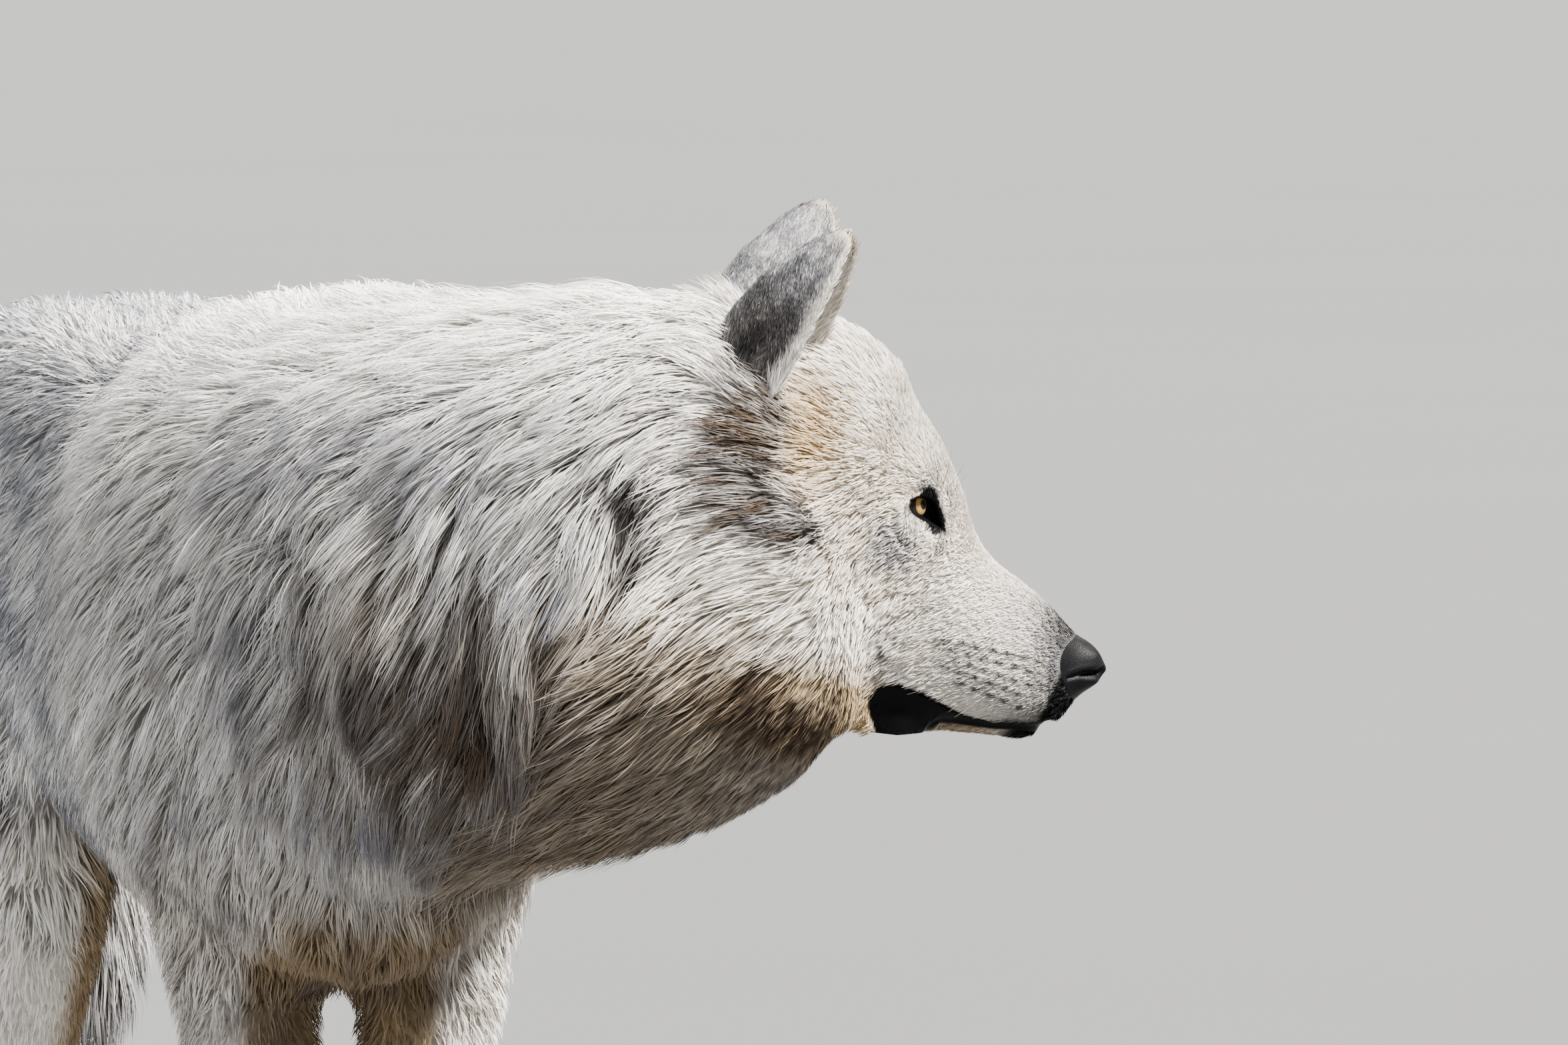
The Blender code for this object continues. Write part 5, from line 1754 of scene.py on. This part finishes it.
@dataclass
class Barber:
    """Lays tufts of hair over the skin, piece by piece."""

    skin: Surface
    patch_size: float = 0.003
    under_share: float = 0.3
    under_length: float = 0.62
    height_share: float = 0.6
    wisp_locks: int = 9
    mottling: float = 0.75
    held_area: float = 0.0

    @staticmethod
    def parted(line: Array, found: Values) -> Array:
        """Find how deep in a parting of the coat each step of each tuft lies.

        Args:
            line: The middle line of each tuft.
            found: Values at the roots.

        Returns:
            A value from 0 to 1 for each step, root first.
        """
        count, steps, _ = line.shape
        rest = found["depth"] * (1.0 - np.arange(steps) / (steps - 1))
        outer = (line + found["normal"][:, None, :] * rest[..., None]).reshape(-1, 3)
        return PARTINGS.off_head(outer).reshape(count, steps)

    @staticmethod
    def clipped(line: Array, parting: Array) -> Array:
        """Cut hair short where it grows in a parting or would lie across one.

        Args:
            line: The middle line of each tuft.
            parting: How deep in a parting each step lies.

        Returns:
            The lines, some of them shortened.
        """
        steps = line.shape[1] - 1
        rooted = parting[:, 0]
        crossing = parting[:, 1:] > np.maximum(0.36, rooted + 0.12)[:, None]
        reach = np.where(crossing.any(axis=1), np.argmax(crossing, axis=1) + 0.55, steps)
        reach = np.where(rooted > 0.5, np.minimum(reach, 0.5 * steps), reach)
        return line[:, :1] + (line - line[:, :1]) * (reach / steps)[:, None, None]

    def sampled(self, piece: CoatPiece, rng: Chance) -> Values:
        """Choose roots on the skin and read its values there.

        Args:
            piece: The piece to grow.
            rng: Where chance comes from.

        Returns:
            The values at each root, with the places under the key root.
        """
        skin = self.skin
        middles = skin.points[skin.corners].mean(axis=1)
        held = np.nonzero(piece.holds(skin, middles))[0]
        corners = skin.corners[held]
        open_share = 1.0 - skin.values["bare"][corners].mean(axis=1)
        size = (skin.values["length"] * skin.values["width"])[corners].mean(axis=1)
        weight = skin.areas()[held] * np.clip(open_share, 0.0, 1.0) / size
        self.held_area = float(skin.areas()[held].sum())
        count = piece.triangles // (2 * piece.cut.segments - 1)
        ladder = np.cumsum(weight)
        steps = (np.arange(count) + rng.random(count)) / count * ladder[-1]
        picked = corners[np.minimum(np.searchsorted(ladder, steps), len(ladder) - 1)]
        share = rng.random((count, 2))
        flipped = share.sum(axis=1) > 1.0
        share[flipped] = 1.0 - share[flipped]
        weights = np.stack([1.0 - share.sum(axis=1), share[:, 0], share[:, 1]], axis=1)
        found = {"root": np.einsum("ij,ijk->ik", weights, skin.points[picked])}
        for key in ("length", "width", "depth", "droop", "lie", "normal", "marks"):
            values = skin.values[key][picked].reshape(count, 3, -1)
            found[key] = np.einsum("ij,ijk->ik", weights, values)
        return found

    def combed(self, found: Values, piece: CoatPiece,
               rng: Chance) -> Tuple[Array, Array]:
        """Bend each tuft along the lie of the coat.

        Args:
            found: Values at the roots.
            piece: The piece that is grown.
            rng: Where chance comes from.

        Returns:
            The middle line of each tuft, and 1 for each one of the undercoat.
        """
        count = len(found["root"])
        under = (rng.random(count) < self.under_share).astype(float)
        length = found["length"][:, 0]
        depth = found["depth"][:, 0]
        sine = np.clip(depth / (self.height_share * length), 0.08, 0.85)
        lift = np.arcsin(sine) * rng.uniform(0.76, 1.32, count)
        length = length * rng.uniform(0.72, 1.1, count) * (1.0 - (1.0 - self.under_length) * under)
        normal = unit(found["normal"])
        lie = unit(found["lie"])
        side = np.cross(normal, lie)
        bend = rng.normal(0.0, 0.12, count)
        curl = rng.normal(0.0, 0.17, count)
        place = found["root"] - normal * 0.0004
        line = [place]
        for step in range(piece.cut.segments):
            share = (step + 0.5) / piece.cut.segments
            angle = lift * (1.45 - 1.1 * share)
            way = (np.cos(angle)[:, None] * lie + np.sin(angle)[:, None] * normal
                   + side * (bend + curl * share)[:, None])
            way[:, 2] -= found["droop"][:, 0] * share
            place = place + unit(way) * (length / piece.cut.segments)[:, None]
            line.append(place)
        return np.stack(line, axis=1), under

    @staticmethod
    def gathered(line: Array, size: int, strength: Pair,
                 rng: Chance) -> Tuple[Array, Array]:
        """Draw tufts together into locks that narrow to their tips.

        Args:
            line: The middle line of each tuft.
            size: How many tufts make a lock.
            strength: The least and most that a tip is drawn to its lock's middle.
            rng: Where chance comes from.

        Returns:
            The drawn lines, and a random value shared by the tufts of a lock.
        """
        count = len(line)
        leaders = rng.choice(count, max(count // size, 1), replace=False)
        own = nearest(line[leaders, 0], line[:, 0])
        chief = line[leaders[own]]
        share = np.linspace(0.0, 1.0, line.shape[1]) ** 1.35
        pull = rng.uniform(*strength, count)[:, None] * share[None, :]
        return line + (chief - line) * pull[..., None], rng.random(len(leaders))[own]

    def ribbons(self, line: Array, found: Values, rng: Chance) -> Array:
        """Give each line its width.

        Args:
            line: The middle line of each tuft.
            found: Values at the roots.
            rng: Where chance comes from.

        Returns:
            The points of each tuft: two at each step and one at the tip.
        """
        count, steps, _ = line.shape
        ways = unit(np.diff(line, axis=1))
        normal = unit(found["normal"])
        facing = unit(normal + 0.45 * rng.normal(size=(count, 3)))
        half = found["width"] * rng.uniform(0.7, 1.3, (count, 1)) / 2
        points = []
        for step, share in enumerate(WIDTH_PROFILES[steps - 1]):
            across = unit(np.cross(ways[:, step], facing)) * half * share
            points += [line[:, step] - across, line[:, step] + across]
        points.append(line[:, -1])
        out = np.stack(points, axis=1)
        out[..., 2] = np.maximum(out[..., 2], 0.0004)
        return out

    def grow(self, piece: CoatPiece, material: Material, seed: int) -> Thing:
        """Make one piece of the coat.

        Args:
            piece: What to grow.
            material: Its material.
            seed: Which chance pattern to use.

        Returns:
            The piece's object.
        """
        rng = np.random.default_rng(seed)
        found = self.sampled(piece, rng)
        line, under = self.combed(found, piece, rng)
        line, lock = self.gathered(line, piece.cut.lock_size, piece.cut.pull, rng)
        wide_pull = (piece.cut.pull[0] * 0.5, piece.cut.pull[1] * 0.6)
        line, wisp = self.gathered(line, piece.cut.lock_size * self.wisp_locks, wide_pull, rng)
        if Region.EAR not in piece.regions:
            parting = self.parted(line, found)
            line = self.clipped(line, parting)
            middle = (piece.cut.segments + 1) // 2
            rooted = np.interp(found["length"], (0.01, 0.05), (0.2, 0.8))
            spot = line[:, 0] * rooted + line[:, middle] * (1.0 - rooted)
            shift = found["length"] * np.interp(found["length"], (0.01, 0.04), (0.3, 1.0))
            spot += found["lie"] * shift * (self.mottling * (0.7 * lock + 0.3 * wisp - 0.5))[:, None]
            found["marks"] = Markings().over(spot, parting[:, middle])
        points = self.ribbons(line, found, rng)
        count, corners, _ = points.shape
        steps = piece.cut.segments
        one = [(2 * step, 2 * step + 1, 2 * step + 3) for step in range(steps - 1)]
        two = [(2 * step, 2 * step + 3, 2 * step + 2) for step in range(steps - 1)]
        shape = np.array(one + two + [(2 * steps - 2, 2 * steps - 1, 2 * steps)])
        faces = (np.arange(count)[:, None, None] * corners + shape[None]).reshape(-1, 3)
        mesh = build_mesh(piece.name, points.reshape(-1, 3), faces)
        along = np.repeat(np.arange(steps + 1) / steps, 2)[:corners]
        own = (rng.random(count), 0.5 * (lock + wisp), under)
        add_values(mesh, "strand", np.tile(along, count), *(np.repeat(value, corners) for value in own))
        add_values(mesh, "marks", *np.repeat(found["marks"], corners, axis=0).T)
        root_map = piece.unwrap(found["root"])
        offset = np.stack([np.tile((-0.5, 0.5), steps + 1)[:corners], along - 0.5], axis=1)
        offset[-1, 0] = 0.0
        maps = (root_map[:, None, :] + offset[None] * self.patch_size).reshape(-1, 2)
        layer = mesh.uv_layers.new(name="OFBake")
        layer.data.foreach_set("uv", maps[faces.ravel()].astype(np.float32).ravel())
        thing = show(piece.name, mesh, material)
        cover = float((found["length"] * found["width"]).sum() / self.held_area)
        LOG.info("%s: %d tufts, %d triangles, %.1f deep", piece.name, count, len(faces), cover)
        return thing


# ---------------- eyes, whiskers and claws

@dataclass
class EyeGlobe:
    """One eyeball with a bulging cornea, which looks level and ahead past the muzzle."""

    side: int
    iris: float = 0.0055
    bulge: float = 0.0009
    outward: float = 41.0
    upward: float = 26.0
    rings: int = 56
    spokes: int = 64

    def build(self, material: Material) -> Thing:
        """Make the eyeball.

        Args:
            material: Its material, which reads the values ring and rays.

        Returns:
            The piece that stands for the CAD eye.
        """
        word = "left" if self.side > 0 else "right"
        out, rise = math.radians(self.outward), math.radians(self.upward)
        level = math.cos(rise)
        gaze = HEAD.direction((math.cos(out) * level, self.side * math.sin(out) * level, math.sin(rise)))
        across = unit(np.cross(gaze, UP))
        over = np.cross(across, gaze)
        edge = math.asin(self.iris / EYE_SLIT.radius)
        tilt = np.linspace(0.0, 1.0, self.rings)[1:-1] ** 1.6 * math.pi
        turn = round_angles(self.spokes)
        radius = EYE_SLIT.radius + self.bulge * np.clip(1.0 - (tilt / (1.15 * edge)) ** 2, 0.0, 1.0)
        spoke = np.cos(turn)[:, None] * across + np.sin(turn)[:, None] * over
        points = ((np.cos(tilt) * radius)[:, None, None] * gaze
                  + (np.sin(tilt) * radius)[:, None, None] * spoke)
        poles = np.stack([gaze * (EYE_SLIT.radius + self.bulge), -gaze * EYE_SLIT.radius])
        points = np.concatenate([points.reshape(-1, 3), poles]) + MEASURES.node_middle("eye_" + word)
        count = len(tilt)
        front, last = count * self.spokes, (count - 1) * self.spokes
        faces = [halved(ring_faces(count, self.spokes))[:, ::-1], fan(0, self.spokes, front),
                 fan(last, self.spokes, front + 1)[:, ::-1]]
        mesh = build_mesh("eye_globe_" + word, points, np.concatenate(faces))
        ring = np.concatenate([np.repeat(tilt, self.spokes), (0.0, math.pi)]) / edge
        spins = np.concatenate([np.tile(turn, count), (0.0, 0.0)])
        reach = np.clip(ring, 0.3, 1.0)
        add_values(mesh, "ring", ring)
        add_values(mesh, "rays", np.cos(spins) * reach, np.sin(spins) * reach, 0.2 * ring)
        globe = show(mesh.name, mesh, material)
        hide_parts("eye_" + word)
        return globe


@dataclass
class Whiskers:
    """Stiff hairs in rows on the muzzle, with a few over the eyes, on the cheeks and the chin."""

    skin: Surface
    root_radius: float = 0.00021
    sunk: float = 0.0015
    swept: float = 0.16
    sag: float = 0.14
    steps: int = 12

    def roots(self) -> List[Tuple[Pair, float, Place]]:
        """List the whiskers of one half: place seen from the side, length and direction."""
        found = []
        for number, place in enumerate(Markings().whisker_places()):
            if number % 2 == 0 and place[0] < 0.15:
                share = (0.158 - place[0]) / 0.06
                way = (-0.35 - 0.45 * share, 0.85, -0.1 - 4.0 * (-0.02 - place[2]))
                found.append(((place[0], place[2]), 0.03 + 0.036 * share, way))
        for number in range(4):
            found.append(((0.066 + 0.004 * number, 0.049 - 0.001 * number),
                          0.034 - 0.004 * number, (-0.2 + 0.15 * number, 0.45, 0.75)))
        for number in range(2):
            found.append(((0.072 + 0.005 * number, -0.047), 0.04, (-0.6, 0.75, -0.35)))
        for number in range(4):
            found.append(((0.12 + 0.011 * number, -0.084 + 0.004 * number), 0.018, (-0.35, 0.3, -0.8)))
        return found

    def build(self, material: Material) -> Thing:
        """Make all the whiskers as one piece.

        Args:
            material: Their material, which reads the value ring.

        Returns:
            The piece.
        """
        near = norms(HEAD.local(self.skin.points[self.skin.corners[:, 0]])) < 0.26
        tree = BVHTree.FromPolygons(self.skin.points.tolist(), self.skin.corners[near].tolist())
        rng = np.random.default_rng(SEED + 90)
        points, faces, shares = [], [], []
        total = 0
        for side in (1, -1):
            left = Vector(HEAD.turn[1] * side)
            for (ahead, up), length, way in self.roots():
                start = Vector(HEAD.world((ahead, 0.14 * side, up)))
                hit = tree.ray_cast(start, -left)[0]
                if hit is None:
                    continue
                heading = HEAD.direction(np.array(way) * (1.0, side, 1.0))
                heading = unit(heading + rng.normal(0.0, 0.07, 3))
                share = np.linspace(0.0, 1.0, self.steps)
                size = length * rng.uniform(0.85, 1.1)
                back = HEAD.direction((-1.0, 0.0, 0.0))
                path = (np.array(hit) - heading * self.sunk + np.outer(share * size, heading)
                        + np.outer(share ** 2 * size * self.swept, back)
                        - np.outer(share ** 2 * size * self.sag, UP))
                body, quads = tube(path, self.root_radius * (1.0 - 0.85 * share), 4)
                points.append(body)
                faces.append(quads + total)
                shares.append(np.repeat(share, 4))
                total += len(body)
        mesh = build_mesh("whiskers", np.concatenate(points), np.concatenate(faces))
        add_values(mesh, "ring", np.concatenate(shares))
        piece = show("whiskers", mesh, material)
        return piece


@dataclass(frozen=True)
class Claws:
    """The sixteen claws: cones that curve down ahead of their toes."""

    half_depth: float = 0.0042
    flat: float = 0.7
    drop: float = 0.34
    rings: int = 14
    sides: int = 14

    def build(self, node: str, material: Material) -> Thing:
        """Make one claw in its CAD node's place.

        Args:
            node: The claw's node.
            material: Its material, which reads the value ring.

        Returns:
            The piece.
        """
        low, high = (np.array(corner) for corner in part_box(node))
        length = high[1] - low[1] - 0.0005
        root = np.array(((low[0] + high[0]) / 2, high[1], high[2] - self.half_depth - 0.0002))
        along = 1.0 - (1.0 - np.linspace(0.0, 1.0, self.rings)) ** 1.5
        path = root + np.stack([np.zeros_like(along), -length * along,
                                -self.drop * length * along ** 2], axis=1)
        widths = self.half_depth * (1.0 - along) ** 0.62 + 0.00025
        turn = round_angles(self.sides)
        keel = 1.0 - 0.22 * np.maximum(-np.sin(turn), 0.0) ** 2
        points = (path[:, None, :] + widths[:, None, None] * np.stack(
            [self.flat * np.cos(turn), np.zeros_like(turn), np.sin(turn) * keel], axis=1)[None])
        points = np.concatenate([points.reshape(-1, 3), path[-1:] - (0.0, 0.0003, 0.0001), path[:1]])
        tip, last = self.rings * self.sides, (self.rings - 1) * self.sides
        faces = [halved(ring_faces(self.rings, self.sides)), fan(last, self.sides, tip),
                 fan(0, self.sides, tip + 1)[:, ::-1]]
        mesh = build_mesh("horn_" + node, points, np.concatenate(faces))
        add_values(mesh, "ring", np.concatenate([np.repeat(along, self.sides), (1.0, 0.0)]))
        piece = show(mesh.name, mesh, material)
        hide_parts(node)
        return piece


# ---------------- the wolf

@dataclass
class Wolf:
    """The whole animal."""

    pads: float = 0.0004
    shade_of_lengths: Tuple[Row, Row] = ((0.006, 0.02, 0.045), (0.94, 0.74, 0.38))

    def shaped_skin(self) -> Surface:
        """Grow the skin, dress it, sink it under its coat and work the face.

        Returns:
            The whole skin with every value that the coat needs.
        """
        skin = SkinMaker().build()
        LOG.info("skin: %d triangles", len(skin.corners))
        plan = CoatPlan()
        plan.dress(skin)
        skin.values["parting"] = PARTINGS.off_head(skin.points)
        skin.points -= skin.normals() * skin.values["depth"][:, None]
        sculptor = FaceSculptor()
        sculptor.shape_nose(skin)
        sculptor.part_lips(skin)
        sculptor.open_eyes(skin)
        sculptor.press_partings(skin)
        skin.points[:, 2] = np.maximum(skin.points[:, 2], self.pads)
        skin = add_ears(skin)
        Markings().mark(skin)
        plan.comb(skin)
        return skin

    def show_skin(self, skin: Surface) -> None:
        """Show the skin, with the nose leather as a piece of its own."""
        leather = NOSE_PAD.inside(mirrored(HEAD.local(skin.points)))[skin.corners].mean(axis=1) > 0.5
        leather &= skin.values["region"][skin.corners[:, 0]] == Region.HEAD.value
        for name, chosen, material in (("skin", ~leather, SkinFinish().material()),
                                       ("nose_pad", leather, LeatherFinish().material())):
            used, corners = np.unique(skin.corners[chosen], return_inverse=True)
            mesh = build_mesh(name, skin.points[used], corners.reshape(-1, 3))
            add_values(mesh, "marks", *skin.values["marks"][used].T)
            shade = np.interp(skin.values["length"][used], *self.shade_of_lengths)
            add_values(mesh, "shade", shade, shade, shade, shade)
            mesh.normals_split_custom_set_from_vertices(skin.values["normal"][used].tolist())
            piece = show(name, mesh, material)
            if name == "skin":
                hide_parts(*flesh_nodes(), "ear_left", "ear_right")
            LOG.info("%s: %d triangles", name, len(mesh.polygons))

    def build(self) -> None:
        """Make every piece of the wolf."""
        skin = self.shaped_skin()
        self.show_skin(skin)
        barber = Barber(skin)
        long_fur = FurFinish("coat_fur", contrast=0.55).material()
        leg_fur = FurFinish("leg_fur", 0.78).material()
        finishes = {
            Region.HEAD: (FurFinish("face_fur", 0.82, 0.7, 0.2, 0.12).material(), "face_coat"),
            Region.EAR: (FurFinish("ear_fur", 0.62, 0.7).material(), "ear_coat"),
            Region.FORELEG: (leg_fur, "coat"),
            Region.HINDLEG: (leg_fur, "coat"),
        }
        for number, piece in enumerate(COAT_PIECES):
            material, slot = finishes.get(piece.regions[0], (long_fur, "coat"))
            barber.grow(piece, material, SEED + number)
        eye = EyeFinish().material()
        for side in (1, -1):
            EyeGlobe(side).build(eye)
        Whiskers(skin).build(WhiskerFinish().material())
        horn = HornFinish().material()
        for node in sorted(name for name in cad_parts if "claw" in name):
            Claws().build(node, horn)
        LOG.info("eyes, whiskers and claws done")


# ---------------- studio

@dataclass(frozen=True)
class Sun:
    """One broad, even light: its strength, its width in degrees, its direction and its colour."""

    name: str
    strength: float
    spread: float
    source: Place
    colour: Place

    def hang(self) -> None:
        """Put the light in the scene."""
        data = bpy.data.lights.new(self.name, "SUN")
        data.energy = self.strength
        data.angle = math.radians(self.spread)
        data.color = self.colour
        light = bpy.data.objects.new(self.name, data)
        light.rotation_mode = "QUATERNION"
        light.rotation_quaternion = Vector(self.source).to_track_quat("Z", "Y")
        bpy.context.scene.collection.objects.link(light)


SUNS = (
    Sun("key", 25.0, 11.0, (0.5, -0.46, 1.0), (1.0, 0.985, 0.955)),
    Sun("rim", 3.0, 40.0, (0.2, 0.9, 0.75), (1.0, 0.99, 0.98)),
    Sun("fill", 2.3, 50.0, (-1.0, -0.55, 0.5), (0.9, 0.94, 1.0)),
)


@dataclass(frozen=True)
class Studio:
    """A pale floor, soft light from above and a camera at the wolf's own height."""

    aim: Place = (0.0813, -0.5118, 0.657)
    azimuth: float = -14.0
    elevation: float = 4.0
    distance: float = 6.0
    lens: float = 255.3
    floor_size: float = 400.0
    floor_dark: Colour = (0.098, 0.098, 0.096, 1.0)
    floor_light: Colour = (0.108, 0.108, 0.106, 1.0)
    room: Colour = (0.8, 0.86, 0.95, 1.0)
    room_light: float = 0.3
    clip_end: float = 600.0

    def camera(self) -> None:
        """Set the camera with the picture's framing."""
        turn, rise = math.radians(self.azimuth), math.radians(self.elevation)
        level = math.cos(rise)
        look = Vector((-math.sin(turn) * level, math.cos(turn) * level, -math.sin(rise)))
        data = bpy.data.cameras.new("camera")
        data.lens = self.lens
        data.sensor_width = 36.0
        data.clip_start = 0.5
        data.clip_end = self.clip_end
        camera = bpy.data.objects.new("camera", data)
        camera.location = Vector(self.aim) - look * self.distance
        camera.rotation_mode = "QUATERNION"
        camera.rotation_quaternion = look.to_track_quat("-Z", "Y")
        bpy.context.scene.collection.objects.link(camera)
        bpy.context.scene.camera = camera

    def floor(self) -> None:
        """Lay the floor."""
        corners = np.array([(-1, -1, 0), (1, -1, 0), (1, 1, 0), (-1, 1, 0)]) * (self.floor_size / 2)
        mesh = build_mesh("floor", corners, np.array([[0, 1, 2, 3]]))
        graph = Graph("floor")
        shade = graph.blend(graph.noise(0.6), self.floor_dark, self.floor_light)
        mesh.materials.append(graph.surface({"Base Color": shade, "Roughness": 0.9}))
        floor = bpy.data.objects.new("floor", mesh)
        bpy.context.scene.collection.objects.link(floor)

    def build(self) -> None:
        """Make the camera, the floor and the lights."""
        self.camera()
        self.floor()
        for sun in SUNS:
            sun.hang()
        world = bpy.data.worlds.new("room")
        world.use_nodes = True
        background = world.node_tree.nodes["Background"]
        background.inputs["Color"].default_value = self.room
        background.inputs["Strength"].default_value = self.room_light
        bpy.context.scene.world = world


def main() -> None:
    """Build the wolf and its studio."""
    logging.basicConfig(level=logging.INFO, format="%(name)s %(message)s")
    Wolf().build()
    Studio().build()
    bpy.context.view_layer.update()


if __name__ == "__main__":
    main()
